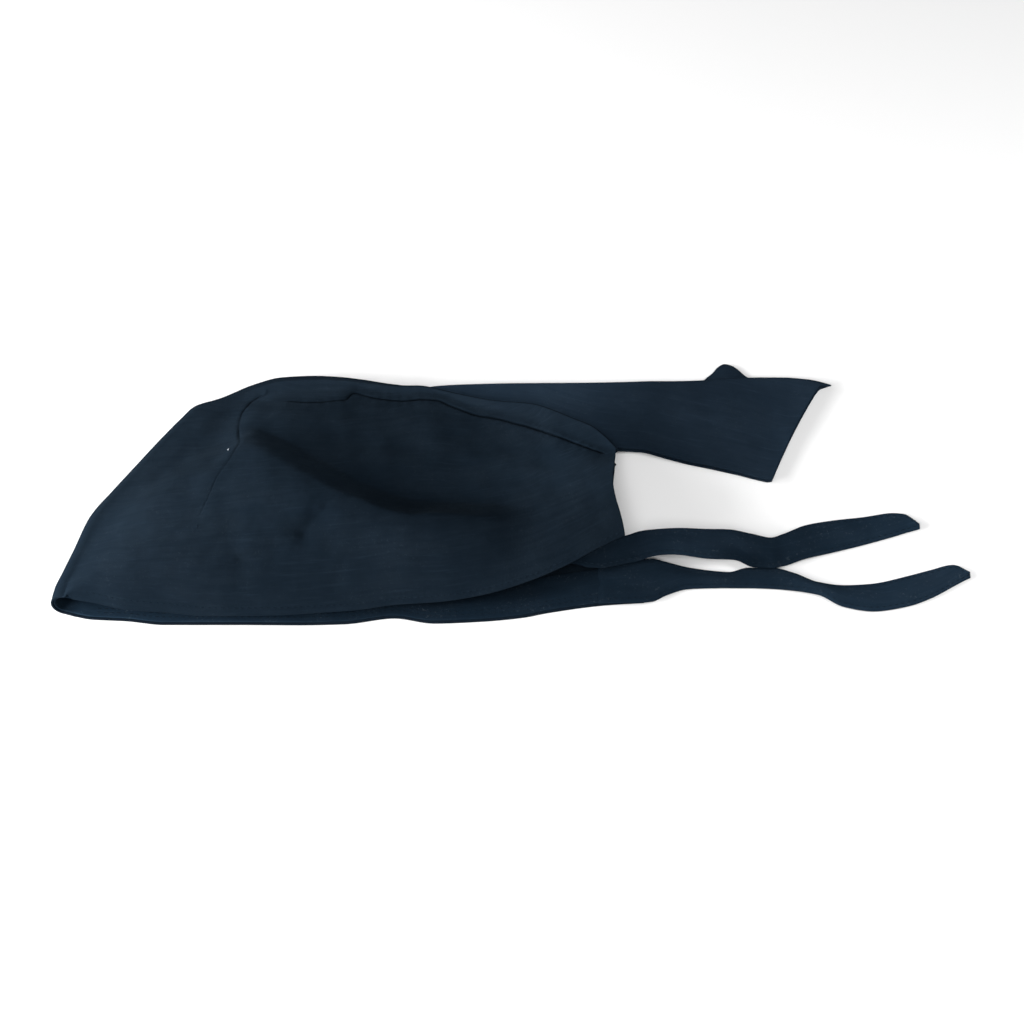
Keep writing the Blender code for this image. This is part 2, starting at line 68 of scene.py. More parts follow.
Section = namedtuple("Section", "hem_x crown_x crown_y crown_top fold_radius floor_hem_x")
SECTIONS = [
    Section(-202, -212.5, -71, 13, 6.5, -202),
    Section(-197, -211.2, -63, 13, 6.5, -197),
    Section(-190, -208.6, -55, 13, 6.5, -190),
    Section(-179, -203.9, -40.5, 13, 6.5, -179),
    Section(-166, -197.8, -21, 13, 6.5, -166),
    Section(-158, -187.9, -4.8, 13, 6.5, -158),
    Section(-150, -177.4, 11.3, 13, 6.5, -150),
    Section(-143, -167.9, 25.8, 13, 6.5, -143),
    Section(-137, -158.3, 39.5, 13, 6.5, -137),
    Section(-131, -151.5, 47.9, 13, 6.5, -131),
    Section(-124, -139.5, 52.9, 13, 6.5, -124),
    Section(-115, -124, 61.6, 13, 6.5, -115),
    Section(-105, -110.5, 66.3, 13, 6.5, -105),
    Section(-92, -95, 67.3, 13, 6.5, -92),
    Section(-81, -83, 66.6, 13, 6.3, -81),
    Section(-70, -71, 64.8, 12.8, 5.8, -70),
    Section(-60, -60, 62.4, 12.6, 5, -60),
    Section(-51, -51, 60.8, 12.4, 4, -51),
    Section(-41, -41, 58.9, 12.4, 2.2, -41),
    Section(-25, -25, 53.6, 12.6, 1.7, -25),
    Section(-8, -8, 49, 13, 1.6, -8),
    Section(10, 10, 46.4, 13.6, 1.6, 11),
    Section(20, 19.5, 42.4, 13.8, 1.6, 22),
    Section(30, 29, 37.6, 13.4, 1.6, 33),
    Section(38, 38, 33.2, 12.8, 1.6, 43),
    Section(46, 44.5, 27, 12.4, 1.6, 53),
    Section(52.3, 50.2, 19, 12.4, 1.6, 61),
]
OPEN_FROM = 16.5  # the row of SECTIONS where the slit for the tail starts

HemPoint = namedtuple("HemPoint", "x y z")
UPPER_HEM = [
    HemPoint(-202, -73.4, 12.6),
    HemPoint(-191, -75.2, 11.8),
    HemPoint(-177, -78.2, 10.8),
    HemPoint(-160, -79.2, 10.1),
    HemPoint(-138, -80.9, 9.5),
    HemPoint(-108, -80.3, 9.5),
    HemPoint(-89, -78.9, 9.5),
    HemPoint(-71, -77.3, 9.7),
    HemPoint(-53, -74.6, 10.3),
    HemPoint(-33, -73.4, 11),
    HemPoint(-14, -70.3, 12),
    HemPoint(7, -63.9, 14),
    HemPoint(27, -55.3, 17),
    HemPoint(39, -48.4, 19),
    HemPoint(52.3, -41.1, 20),
]
FLOOR_HEM = [
    HemPoint(-202, -73.4, 0),
    HemPoint(-194, -75.2, 0),
    HemPoint(-178, -76.2, 0),
    HemPoint(-160, -78.4, 0),
    HemPoint(-125, -78.4, 0),
    HemPoint(-98, -78.6, 0),
    HemPoint(-77, -78, 0),
    HemPoint(-54, -74.6, 0),
    HemPoint(-36, -77.6, 0),
    HemPoint(-14, -76.5, 0),
    HemPoint(5, -74.2, 0),
    HemPoint(17, -71.3, 0),
    HemPoint(42, -67, 0),
    HemPoint(61, -65.4, 0),
]

# How far the upper side stands above the straight line from its hem to the crown, along X.
Puff = namedtuple("Puff", "x height")
PUFFS = [
    Puff(-213, 0),
    Puff(-200, 4),
    Puff(-185, 9),
    Puff(-165, 14),
    Puff(-140, 17.5),
    Puff(-115, 18),
    Puff(-90, 16),
    Puff(-60, 12.5),
    Puff(-30, 9.5),
    Puff(0, 7.5),
    Puff(30, 6),
    Puff(55, 5),
]
PUFF_RISE, PUFF_FALL = 0.95, 1.45  # powers that shape the rise from the hem and the fall to the crown

# Dents and ridges of the upper side. Each follows a run of points; left and right are its widths on the two
# sides of the run, seen walking along it, and a power under 2 sharpens its bottom or top.
Crease = namedtuple("Crease", "name run left right power height")
CREASES = [
    Crease("brow hollow", [(-134.7, 36.6), (-140.1, 20.8), (-151.5, 11.8), (-165.3, 3.7)], 9, 10, 2.0, -2.4),
    Crease("brow swell", [(-170.5, -24.7), (-152.4, -11.9), (-143.9, -9.5)], 12, 13, 2.0, 1.8),
    Crease("brow crease", [(-150.9, 43.0), (-150.8, 34.8), (-149.3, 24.7)], 9, 6, 1.9, -0.5),
    Crease("crescent dent", [(-91.2, -39.8), (-93.9, -42.9), (-96.6, -46.9)], 6, 2.4, 1.5, -2.1),
    Crease("small crease",
           [(-124.9, -59.4), (-120.3, -58.3), (-114.8, -56.5), (-108.9, -54.0)], 2, 6, 1.5, -1.4),
    Crease("swell beside the dart", [(-120.4, -52.4), (-109.0, -47.8)], 7, 7, 2.0, 1),
    Crease("hollow under the crown",
           [(-78.6, 17.2), (-69.3, 21.1), (-59.9, 24.6), (-50.4, 19.7)], 12, 12, 2.0, -1.8),
    Crease("hollow above the corner",
           [(-15.1, 20.1), (-5.7, 21.0), (3.8, 16.8), (17.9, 7.8)], 12, 12, 2.0, -2),
    Crease("swell at the corner", [(15.2, -52.3), (24.5, -39.5)], 8, 8, 2.0, 0.9),
]
# The long fold from the dart to the pocket. The cloth on the hem's side of the run stands higher: it falls to
# the run over the flank, from a ridge that is rounder the larger the roundness, and levels out over the reach.
# Dark is the share of painted shade by which the cloth's colour is darker on the flank.
FoldPoint = namedtuple("FoldPoint", "x y flank reach height roundness dark")
LONG_FOLD = [
    FoldPoint(-134.5, 33.6, 12, 26, 0, 1.3, 0),
    FoldPoint(-127.1, 28.8, 12.5, 26, 1, 1.3, 0.02),
    FoldPoint(-119.7, 24, 14, 26, 3.6, 1.3, 0.06),
    FoldPoint(-113, 18.9, 16, 28, 5.4, 1.3, 0.08),
    FoldPoint(-101.7, 9.6, 17, 30, 7.6, 1.25, 0.08),
    FoldPoint(-92.6, 1.6, 17, 31, 8.3, 1.2, 0.08),
    FoldPoint(-83.5, -4.3, 17, 32, 9, 1.15, 0.08),
    FoldPoint(-72.7, -11.8, 17, 32, 9.8, 1.05, 0.15),
    FoldPoint(-61.9, -16, 17, 30, 10.4, 0.95, 0.26),
    FoldPoint(-53, -19.8, 17, 28, 10.6, 0.85, 0.36),
    FoldPoint(-44.2, -21.9, 16, 28, 10.6, 0.8, 0.42),
    FoldPoint(-29.3, -22.6, 13, 28, 9, 0.9, 0.42),
    FoldPoint(-11.2, -23, 12, 26, 5.4, 1.1, 0.32),
    FoldPoint(3.7, -25.1, 12, 22, 2.2, 1.5, 0.16),
    FoldPoint(15.3, -27.2, 12, 22, 0, 1.8, 0),
]
LONG_FOLD_SPLIT = 6
LONG_FOLD_START, LONG_FOLD_END = 2.5, 1.5  # rows of the table over which the fold grows and dies out
SHADE_MIDDLE, SHADE_WIDTH, SHADE_POWER = 0.45, 0.75, 2.6  # where it is darker, in shares of the flank
SOFTNESS = 6
SOFT_SUM = 1.178  # what the average over a straight line comes to at a distance of 1 with this softness
SOFT_FROM, SOFT_OVER = 4, 8  # the averaged distance takes over beyond the first, across the second
WAVE_LENGTHS = (9.0, 11.0, 14.0, 17.0, 21.0, 26.0, 33.0)
WAVE_HEIGHT = 0.6
WAVE_BEND, WAVE_STRETCH = 0.9, 1.7  # how much the waves wander, and how slowly
CREASE_FADE = 16.0  # creases die out over this distance from the hem and the crown

Point = namedtuple("Point", "x y")
DART = [
    Point(-145.3, -38.1),
    Point(-143.1, -32.6),
    Point(-140, -23.3),
    Point(-137.1, -13.5),
    Point(-134.5, -8),
    Point(-131.4, -1.2),
    Point(-129, 6.2),
    Point(-127.8, 10.6),
    Point(-129.3, 28.2),
    Point(-128.4, 37.7),
    Point(-125.8, 43.2),
    Point(-122.2, 48),
    Point(-118.6, 50.5),
    Point(-115.8, 50.8),
]
CROWN_SEAM = [
    Point(-111.2, 45.7),
    Point(-95.2, 44.4),
    Point(-84.1, 45.7),
    Point(-78.5, 47),
    Point(-77.1, 50.2),
    Point(-74.8, 52.2),
    Point(-64.7, 48.7),
    Point(-52.3, 47.4),
    Point(-43.6, 48.4),
    Point(-35.6, 47.9),
    Point(-28.2, 43.5),
    Point(-17, 38),
    Point(-6.6, 35.7),
    Point(2.8, 31.7),
    Point(13.2, 27.5),
    Point(26, 21.3),
    Point(37.2, 16.4),
    Point(46.6, 13.9),
]
# Painted light and painted shade: where the cloth is drawn a little lighter or darker than the rest, a middle,
# how far it reaches and the change.
Patch = namedtuple("Patch", "name x y reach_x reach_y change")
PAINTED_PATCHES = [
    Patch("brow", -198, -45, 32, 45, 0.15),
    Patch("brow's upper edge", -168, 18, 22, 30, 0.15),
    Patch("back corner", 30, -34, 48, 36, -0.16),
    Patch("back panel", 28, 2, 34, 22, 0.75),
    Patch("upper panel", -50, 16, 50, 22, 0.08),
    Patch("brow hollow", -150, 6, 20, 14, -0.16),
]
# Painted light and painted shade change the colour by a share. A pair is where that starts along X and how far
# it takes to grow.
CROWN_PAINTED_LIGHT, CROWN_PAINTED_LIGHT_REACH, CROWN_PAINTED_LIGHT_X = 0.48, 7.0, (-135, 20)
CROWN_PAINTED_LIGHT_MORE, CROWN_PAINTED_LIGHT_MORE_X = 0.5, (-60, 40)
BROW_PAINTED_LIGHT, BROW_PAINTED_LIGHT_X = 0.5, (60, 90)  # toward the brow, so along -X
BAND_SHADE, BAND_SHADE_ACROSS = 0.5, (4, 9)  # across the band, from its edge
BAND_SHADE_LESS, BAND_SHADE_LESS_X = 0.7, (5, 32)
BAND_UPPER_SHADE = 0.2
TUCK_PAINTED_LIGHT, TUCK_PAINTED_LIGHT_X = 0.62, (20, 50)
TAIL_END_PAINTED_LIGHT, TAIL_END_X = 0.26, (90, 40)
TIE_ROOT_X = (50, 30)
TIE_END_PAINTED_LIGHT, TIE_END_X = 0.45, (130, 60)
TIE_SIDE_X, TIE_SIDE_REACH = 110, 13
LEFT_TIE_SHADE, RIGHT_TIE_SHADE = (0.45, 0.5), (0.05, 0.0)  # at the root and along the near side

# The stitched seams: a sharp groove, the flat allowance under one side and the small pulls of the thread.
GROOVE_DEPTH, GROOVE_WIDTH = 0.7, 0.5
LAP_HEIGHT, LAP_WIDTH, LAP_GROWTH = 0.42, 5.0, 1.6
PULL_HEIGHT, PULL_PITCH, PULL_REACH = 0.16, 4.6, 3.4
SEAM_ENDS = 3  # steps over which a seam dies out at either end
CROWN_SEAM_LOOK, DART_LOOK = (1.0, 0.8, 1.4), (0.72, 0.45, 1.0)  # strength, its share at the start, growth

BACK_BOW = 3.4
FLOOR_BACK_BOW = 6.5
BACK_X, BACK_REACH = 30, 22

BAND_ROWS = 16
BAND_COLUMNS = 230
BAND_TURN = 26
BAND_FRONT_X, BAND_FLOOR_END_X, BAND_UPPER_END_X = -200, 57, 47
BROW_LEAN = 0.22
BROW_X, BROW_REACH = -170, 32

TailRow = namedtuple("TailRow", "edge_x edge_y fold_x fold_y floor loft")
TAIL = [
    TailRow(-43, 53, -46, 62.6, 1.6, 1.8),
    TailRow(-34, 49, -36, 64.6, 1.8, 2.2),
    TailRow(-22, 45, -22, 65.2, 2, 2.6),
    TailRow(-6, 40.5, -6, 65.8, 2, 2.6),
    TailRow(11, 38, 11, 66.3, 1.7, 2.6),
    TailRow(25, 32, 26, 66.7, 1.5, 2.4),
    TailRow(38, 27.5, 40, 67.1, 1.4, 2.2),
    TailRow(50, 26, 53, 67.6, 1.4, 2),
    TailRow(61, 25.4, 66, 68.4, 1.2, 1.8),
    TailRow(73, 22, 79, 69.2, 0.5, 1.6),
    TailRow(84, 18.7, 92, 70.2, 0, 1.6),
    TailRow(96, 15.4, 107, 71.3, 0, 2),
    TailRow(108, 11.8, 121, 71.9, 0, 1.8),
    TailRow(115, 9.4, 131, 72, 0, 1.5),
    TailRow(120.8, 7.8, 140, 71, 0, 1.4),
    TailRow(122.8, 8.2, 148.4, 67.7, 0, 1.4),
]
TAIL_SPLIT = 12
TAIL_ROWS = 40
TAIL_FOLD_ROWS = 12
TAIL_TIP = 5.0
TAIL_TIP_WIDTH = 0.09
TAIL_END_BOW = 1.5
TAIL_END_COLUMNS = 24
TAIL_RIPPLE, RIPPLE_START, RIPPLE_TURN = 0.6, 2.3, 0.092
TAIL_SETTLE = 1.6
TAIL_WAVE = 0.4
# The corner of the lower layer that shows beyond the fold.
TAIL_CORNER = [
    Point(89.5, 64),
    Point(92.5, 71.5),
    Point(96.5, 76),
    Point(99.5, 80.2),
    Point(102.5, 82),
    Point(105.8, 81),
    Point(109, 78.2),
    Point(112, 74.6),
    Point(116.5, 70.5),
    Point(118, 64),
]
CORNER_ROOT_Y = 62.0
CORNER_ROWS, CORNER_SPLIT = 14, 5
CORNER_FLOOR, CORNER_ARCH = 0.95, 0.5

TieRow = namedtuple("TieRow", "x near_y far_y near_z far_z arch")
LEFT_TIE = [
    TieRow(24, -52, -49, 13, 14, 0),
    TieRow(30, -53, -46.4, 12.8, 15.2, 0),
    TieRow(36, -54.4, -43.4, 12.2, 16.6, 0),
    TieRow(41, -54.4, -41.8, 11.8, 17, 0),
    TieRow(46, -53.2, -40.8, 11.4, 17.1, 0),
    TieRow(53, -51, -39.4, 10.9, 17.4, 0),
    TieRow(59, -49.2, -36.6, 10.6, 17, 0.2),
    TieRow(66, -46.2, -34.4, 10.4, 15.8, 0.5),
    TieRow(78, -44.2, -31.6, 8.8, 13.4, 0.8),
    TieRow(90, -44.6, -30, 6.6, 10.8, 1.2),
    TieRow(103, -43.6, -28.4, 4.4, 8.2, 2.2),
    TieRow(112, -47, -29, 3.2, 6, 3),
    TieRow(120, -47.2, -30.4, 2.8, 5, 2.4),
    TieRow(127, -45.4, -27.4, 2.4, 4.2, 1.6),
    TieRow(137, -40.4, -21.6, 1.6, 3.2, 1.4),
    TieRow(150, -36, -17.8, 0.9, 2.2, 1.2),
    TieRow(165, -31, -15, 0.5, 1.4, 1),
    TieRow(178, -26.4, -12.2, 0.5, 1, 0.6),
    TieRow(184, -24, -12.8, 0.5, 1, 0.4),
    TieRow(191, -21.6, -18.6, 0.5, 0.8, 0.2),
]
RIGHT_TIE = [
    TieRow(40, -67.2, -45.2, 1.75, 1.75, 0),
    TieRow(44, -67.4, -44.4, 2.35, 2.35, 0),
    TieRow(53, -67.2, -42.6, 2.4, 2.4, 0),
    TieRow(60, -67, -41.6, 2.4, 2.4, 0.2),
    TieRow(65, -66.2, -41, 2, 2.4, 0.5),
    TieRow(72, -61.8, -42.5, 1.2, 1.7, 1.2),
    TieRow(82, -57.8, -45, 0.5, 0.8, 1.6),
    TieRow(94, -57.3, -47, 0.5, 0.6, 1.2),
    TieRow(101, -57.2, -47.6, 0.5, 0.6, 1),
    TieRow(110, -57.2, -45, 0.5, 0.6, 0.8),
    TieRow(121, -57.7, -45, 0.5, 0.6, 0.8),
    TieRow(131, -59, -48.6, 0.5, 1.2, 1.6),
    TieRow(142, -61.6, -54.4, 0.5, 1.6, 2),
    TieRow(153, -68.4, -56, 0.5, 1.2, 1.6),
    TieRow(167, -71, -54.8, 0.5, 0.8, 1.4),
    TieRow(183, -68, -50.4, 0.5, 0.8, 1.2),
    TieRow(194, -63.2, -46.6, 0.5, 0.6, 0.8),
    TieRow(205, -56, -43.2, 0.5, 0.5, 0.4),
    TieRow(212.9, -50.6, -47.4, 0.5, 0.5, 0),
]
TIE_SPLIT = 10
TIE_WAVE = 0.5
TIE_ROWS = 18
TIE_EDGE_RIDGE, TIE_EDGE_WIDTH = 0.25, 1.1  # the turned and stitched edge of a tie stands a little proud

STITCH_PITCH, STITCH_LENGTH, STITCH_WIDTH, STITCH_INSET, STITCH_LEAN = 3.0, 2.1, 0.42, 2.4, 0.12
BAND_STITCH_ROWS = (3.2, 5.4)
TIE_STITCH = 1.9
FRAY_COUNT, FRAY_RADIUS = 13, 0.09
FRAY_START, FRAY_RUN = np.array([184.2, -12.9]), np.array([6.8, -5.7])  # along the left tie's cut end
# Flecks of lint and the thread end at the dart's foot: where they lie, how long they are and their radius.
FLECKS = [((-133.0, 6.4), 1.1, 0.34)]
DART_END = ((-145.3, -43.6), 1.6, 0.22)

# The photograph's view: the camera looks along +Y, down at this angle, at a point on the floor.
VIEW_ELEVATION = radians(50)
VIEW_DISTANCE = 2.2
VIEW_TARGET = Vector((-0.0002, -0.01095, 0.0))
VIEW_WIDTH = 0.47 * 1.024  # width of the view at the target
SENSOR = 36.0

Lamp = namedtuple("Lamp", "name place aim width height power colour")
LAMPS = [
    Lamp("left_front_lamp", (-0.963, -0.449, 0.285), (0.0, 0.0, 0.0), 0.35, 0.35, 17.0, (1.0, 1.0, 1.0)),
    Lamp("left_lamp", (-1.076, 0.0, 0.229), (0.0, 0.0, 0.0), 0.35, 0.35, 13.0, (1.0, 1.0, 1.0)),
    Lamp("left_rear_lamp", (-0.998, 0.363, 0.285), (0.0, 0.0, 0.0), 0.35, 0.35, 5.0, (1.0, 1.0, 1.0)),
    Lamp("right_lamp", (0.737, -0.15, 0.60), (0.2, 0.0, 0.0), 0.35, 0.35, 4.0, (1.0, 1.0, 1.0)),
    Lamp("front_lamp", (-0.1, -0.80, 0.90), (0.0, 0.0, 0.0), 0.5, 0.5, 8.0, (1.0, 1.0, 1.0)),
]
WORLD_LIGHT = 0.12

# Colours of the cloths, each from its darkest dye to its lightest.
NAVY_DARK, NAVY_LIGHT = (0.0056, 0.0103, 0.0165), (0.0080, 0.0136, 0.0208)
# The tail's colours, and the ties' and band's below, are lighter copies of the cap's navy: painted light.
PALE_DARK, PALE_LIGHT = (0.0078, 0.0144, 0.0236), (0.0102, 0.0178, 0.0282)
TIE_DARK, TIE_LIGHT = (0.0064, 0.0134, 0.0226), (0.0090, 0.0168, 0.0272)
THREAD_DARK, THREAD_LIGHT = (0.0062, 0.0116, 0.0186), (0.0088, 0.0150, 0.0230)
LINT_PALE = (0.30, 0.33, 0.36)
LINT = (0.042, 0.056, 0.070)
SHEEN = 0.008
YARN = 0.00042  # from one yarn of the weave to the next, in metres


def smooth_curve(known, values, wanted):
    """Values at the wanted places, on a cubic curve through the known ones that never swings past a
    neighbour."""
    known, values, wanted = (np.asarray(a, float) for a in (known, values, wanted))
    slopes = np.diff(values) / np.diff(known)
    tangents = np.zeros_like(values)
    same_way = slopes[1:] * slopes[:-1] > 0
    tangents[1:-1][same_way] = (2 * slopes[1:] * slopes[:-1])[same_way] / (slopes[1:] + slopes[:-1])[same_way]
    tangents[0], tangents[-1] = slopes[0], slopes[-1]
    left = np.clip(np.searchsorted(known, wanted, side="right") - 1, 0, len(known) - 2)
    width = (known[1:] - known[:-1])[left]
    t = np.clip((wanted - known[left]) / width, 0, 1)
    rest = 1 - t
    return (
        values[left] * (1 + 2 * t) * rest**2
        + tangents[left] * width * t * rest**2
        + values[left + 1] * t**2 * (3 - 2 * t)
        - tangents[left + 1] * width * t**2 * rest
    )


def column(table, name):
    return np.array([getattr(row, name) for row in table], float)


def at(table, name, place):
    """A column's value at a place given as a row number with a fraction."""
    return smooth_curve(np.arange(len(table)), column(table, name), place)


def along(table, name, x):
    return smooth_curve(column(table, "x"), column(table, name), x)


def smooth_step(share):
    share = np.clip(share, 0, 1)
    return share**2 * (3 - 2 * share)


def ramp(value, start, over):
    """From 0 at the start to 1 once the value is that far past it."""
    return smooth_step((value - start) / over)


def smooth_run(points, split):
    """A run of (x, y) points with split steps from each to the next."""
    points = np.asarray(points, float)
    steps = np.linspace(0, len(points) - 1, split * (len(points) - 1) + 1)
    return np.stack([smooth_curve(np.arange(len(points)), points[:, k], steps) for k in (0, 1)], axis=1)


def to_run(x, y, run):
    """Distance from each (x, y) to a run of points, positive on its left, and the place along the run of the
    nearest point."""
    best = np.full(x.shape, np.inf)
    side = np.ones(x.shape)
    place = np.zeros(x.shape)
    for i in range(len(run) - 1):
        start, step = run[i], run[i + 1] - run[i]
        share = np.clip(((x - start[0]) * step[0] + (y - start[1]) * step[1]) / (step @ step), 0, 1)
        off_x, off_y = x - start[0] - share * step[0], y - start[1] - share * step[1]
        far = np.hypot(off_x, off_y)
        nearer = far < best
        best = np.where(nearer, far, best)
        side = np.where(nearer, np.where(step[0] * off_y - step[1] * off_x >= 0, 1.0, -1.0), side)
        place = np.where(nearer, i + share, place)
    return best * side, place


class Crown:
    """The folded edge from the brow's hem over the crown to the back, seen from above."""

    def __init__(self, split):
        self.place = np.linspace(0, len(SECTIONS) - 1, split * (len(SECTIONS) - 1) + 1)
        x, y = at(SECTIONS, "crown_x", self.place), at(SECTIONS, "crown_y", self.place)
        self.top = at(SECTIONS, "crown_top", self.place)
        self.radius = at(SECTIONS, "fold_radius", self.place)
        run = np.stack([np.gradient(x), np.gradient(y)])
        run /= np.linalg.norm(run, axis=0)
        self.out = np.stack([-run[1], run[0]])
        self.centre = np.stack([x, y]) - self.out * self.radius
        steps = np.hypot(np.diff(self.centre[0]), np.diff(self.centre[1]))
        self.length = np.concatenate([[0], np.cumsum(steps)])

    def read(self, values, place):
        return np.interp(place, self.place, values)


CROWN = Crown(6)


def hump(share):
    """From 0 at the hem to 1 where the cloth stands highest, and back to 0 at the crown."""
    peak = PUFF_RISE / (PUFF_RISE + PUFF_FALL)
    highest = peak**PUFF_RISE * (1 - peak) ** PUFF_FALL
    return share**PUFF_RISE * (1 - share) ** PUFF_FALL / highest


def crease_shape(away, crease):
    width = np.where(away > 0, crease.left, crease.right)
    return crease.height * np.exp(-((np.abs(away) / width) ** crease.power))


def to_crown(x, y):
    """Distance to the crown's line. Away from the line it is averaged over the line, so that it has no
    kinks."""
    away, _ = to_run(x, y, CROWN.centre.T)
    near = np.abs(away)
    middle = (CROWN.centre[:, 1:] + CROWN.centre[:, :-1]) / 2
    steps = np.diff(CROWN.length)
    total = np.zeros(x.shape)
    for centre_x, centre_y, step in zip(*middle, steps):
        total += step / ((x - centre_x) ** 2 + (y - centre_y) ** 2 + 1e-6) ** (SOFTNESS / 2)
    soft = (total / SOFT_SUM) ** (-1 / (SOFTNESS - 1))
    return near + (soft - near) * ramp(near, SOFT_FROM, SOFT_OVER)


def handled(x, y):
    """Slight waves left by handling, about 1 high at most."""
    random = np.random.default_rng(5)
    waves = np.zeros(np.shape(x))
    for length in WAVE_LENGTHS:
        turn, start = random.uniform(0, pi), random.uniform(0, 2 * pi)
        bend = WAVE_BEND * np.sin((x * sin(turn) - y * cos(turn)) / (WAVE_STRETCH * length) + start)
        waves += np.sin(2 * pi * (x * cos(turn) + y * sin(turn)) / length + start + bend) * length
    return waves / sum(WAVE_LENGTHS)


def upper_height(x, y):
    """Height of the upper side's outer face over the point (x, y), without its seams."""
    x, y = np.asarray(x, float), np.asarray(y, float)
    from_hem = np.maximum(y - along(UPPER_HEM, "y", x), 0)
    from_crown = to_crown(x, y)
    share = from_hem / np.maximum(from_hem + from_crown, 1e-6)
    hem_z = along(UPPER_HEM, "z", x)
    crown_z = np.interp(x, CROWN.centre[0], CROWN.top)
    height = hem_z + (crown_z - hem_z) * smooth_step(share)
    height = height + along(PUFFS, "height", x) * hump(share)
    fade = smooth_step(np.minimum(from_hem, from_crown) / CREASE_FADE)
    for crease in CREASES:
        away, _ = to_run(x, y, np.array(crease.run, float))
        height = height + fade * crease_shape(away, crease)
    return height + fade * (long_fold_shape(x, y) + WAVE_HEIGHT * handled(x, y))


def to_long_fold(x, y):
    """How far each point is on the hem's side of the long fold, below 0 beyond it, and the fold's sizes
    there."""
    run = smooth_run([(p.x, p.y) for p in LONG_FOLD], LONG_FOLD_SPLIT)
    away, place = to_run(x, y, run)
    place = place / LONG_FOLD_SPLIT
    sizes = [at(LONG_FOLD, name, place) for name in ("flank", "reach", "height", "roundness", "dark")]
    ends = smooth_step(place / LONG_FOLD_START) * smooth_step((len(LONG_FOLD) - 1 - place) / LONG_FOLD_END)
    sizes[2], sizes[4] = sizes[2] * ends, sizes[4] * ends
    return -away, *sizes


def long_fold_shape(x, y):
    below, flank, reach, height, roundness, dark = to_long_fold(x, y)
    rise = 1 - (1 - np.clip(below / flank, 0, 1)) ** roundness
    return height * rise * np.exp(-((np.maximum(below - flank, 0) / reach) ** 2))


def cap_painted_shading(x, y):
    """How much painted light makes the cap's upper side lighter at each point, or below 0 painted shade makes
    it darker: shade on the long fold's flank, the patches, and light on the crown's side of the crown seam.
    """
    below, flank, reach, height, roundness, dark = to_long_fold(x, y)
    fade = -dark * np.exp(-(np.abs(below - flank * SHADE_MIDDLE) / (flank * SHADE_WIDTH)) ** SHADE_POWER)
    for patch in PAINTED_PATCHES:
        off = np.hypot((x - patch.x) / patch.reach_x, (y - patch.y) / patch.reach_y)
        fade = fade + patch.change * np.exp(-(off**2))
    away, _ = to_run(x, y, smooth_run(CROWN_SEAM, 6))
    # Painted light on the crown's side of the crown seam, growing toward the back.
    crown_light = CROWN_PAINTED_LIGHT * (1 + CROWN_PAINTED_LIGHT_MORE * ramp(x, *CROWN_PAINTED_LIGHT_MORE_X))
    return fade + crown_light * smooth_step(away / CROWN_PAINTED_LIGHT_REACH) * ramp(x, *CROWN_PAINTED_LIGHT_X)


def tie_painted_shading(table, dark_root, dark_side):
    """The same for a tie, row by row: painted shade at a root that lies in shade and along the near side, and
    painted light toward the end.
    """
    place = np.linspace(0, len(table) - 1, TIE_SPLIT * (len(table) - 1) + 1)
    x = at(table, "x", place)
    rows = []
    for share in np.linspace(0, 1, TIE_ROWS + 1):
        root = -dark_root * (1 - ramp(x, *TIE_ROOT_X))
        near_side = smooth_step(1.15 - 1.6 * share)
        side = -dark_side * np.exp(-(((x - TIE_SIDE_X) / TIE_SIDE_REACH) ** 2)) * near_side
        rows.append(root + side + TIE_END_PAINTED_LIGHT * ramp(x, *TIE_END_X))
    return np.array(rows)


def tail_painted_light(points):
    """The same for the tail: painted light where it comes out of the tuck and toward its end."""
    x = points[..., 0]
    return TUCK_PAINTED_LIGHT * (1 - ramp(x, *TUCK_PAINTED_LIGHT_X)) + TAIL_END_PAINTED_LIGHT * ramp(x, *TAIL_END_X)


def band_painted_shading():
    """The same for the hem band: painted shade where it runs in under the upper side and a little over its turn
    and upper part, and painted light along its edge at the brow."""
    across = np.linspace(BAND_INSET, BAND_INSET + BAND_WIDTH, BAND_ROWS)[:, None]
    x = np.linspace(BAND_FLOOR_END_X, BAND_FRONT_X, BAND_COLUMNS)[None]
    less = 1 - BAND_SHADE_LESS * ramp(x, *BAND_SHADE_LESS_X)
    shade = BAND_SHADE * ramp(across, *BAND_SHADE_ACROSS) * less
    lower = BROW_PAINTED_LIGHT * ramp(-x, *BROW_PAINTED_LIGHT_X) - shade
    rest = np.full((BAND_ROWS, BAND_TURN + BAND_COLUMNS), -BAND_UPPER_SHADE)
    return np.concatenate([np.broadcast_to(lower, (BAND_ROWS, BAND_COLUMNS)), rest], axis=1)


def seam_shape(x, y, seam, strength, start_strength, growth):
    """Height that a stitched seam adds, and how deep in its groove each point is, from 0 to 1."""
    run = smooth_run(seam, 6)
    away, place = to_run(x, y, run)
    last = len(run) - 1
    ends = smooth_step(place / SEAM_ENDS) * smooth_step((last - place) / SEAM_ENDS)
    grown = start_strength + (1 - start_strength) * smooth_step(place / last * growth)
    ends = ends * strength * grown
    groove = np.exp(-np.abs(away) / GROOVE_WIDTH)
    lap = np.where(away > 0, smooth_step(1.2 - np.abs(away) / LAP_WIDTH), 0) * LAP_HEIGHT
    lap = lap * smooth_step(place / last * LAP_GROWTH)
    length = np.concatenate([[0], np.cumsum(np.hypot(*np.diff(run, axis=0).T))])
    walked = np.interp(place, np.arange(len(run)), length)
    pull = np.sin(2 * pi * walked / PULL_PITCH + 1.3 * np.sin(walked / 7.0))
    pull = pull * np.exp(-np.abs(away) / PULL_REACH)
    height = ends * (lap - GROOVE_DEPTH * groove + PULL_HEIGHT * pull * (1 - groove))
    return height, ends * groove


def close_steps(count, close, at_start, at_end):
    """Shares from 0 to 1 in count steps, with the named number of close steps at either end."""
    steps = np.ones(count)
    if at_start:
        steps[:close] = CLOSE
    if at_end:
        steps[-close:] = CLOSE
    return np.concatenate([[0], np.cumsum(steps)]) / steps.sum()


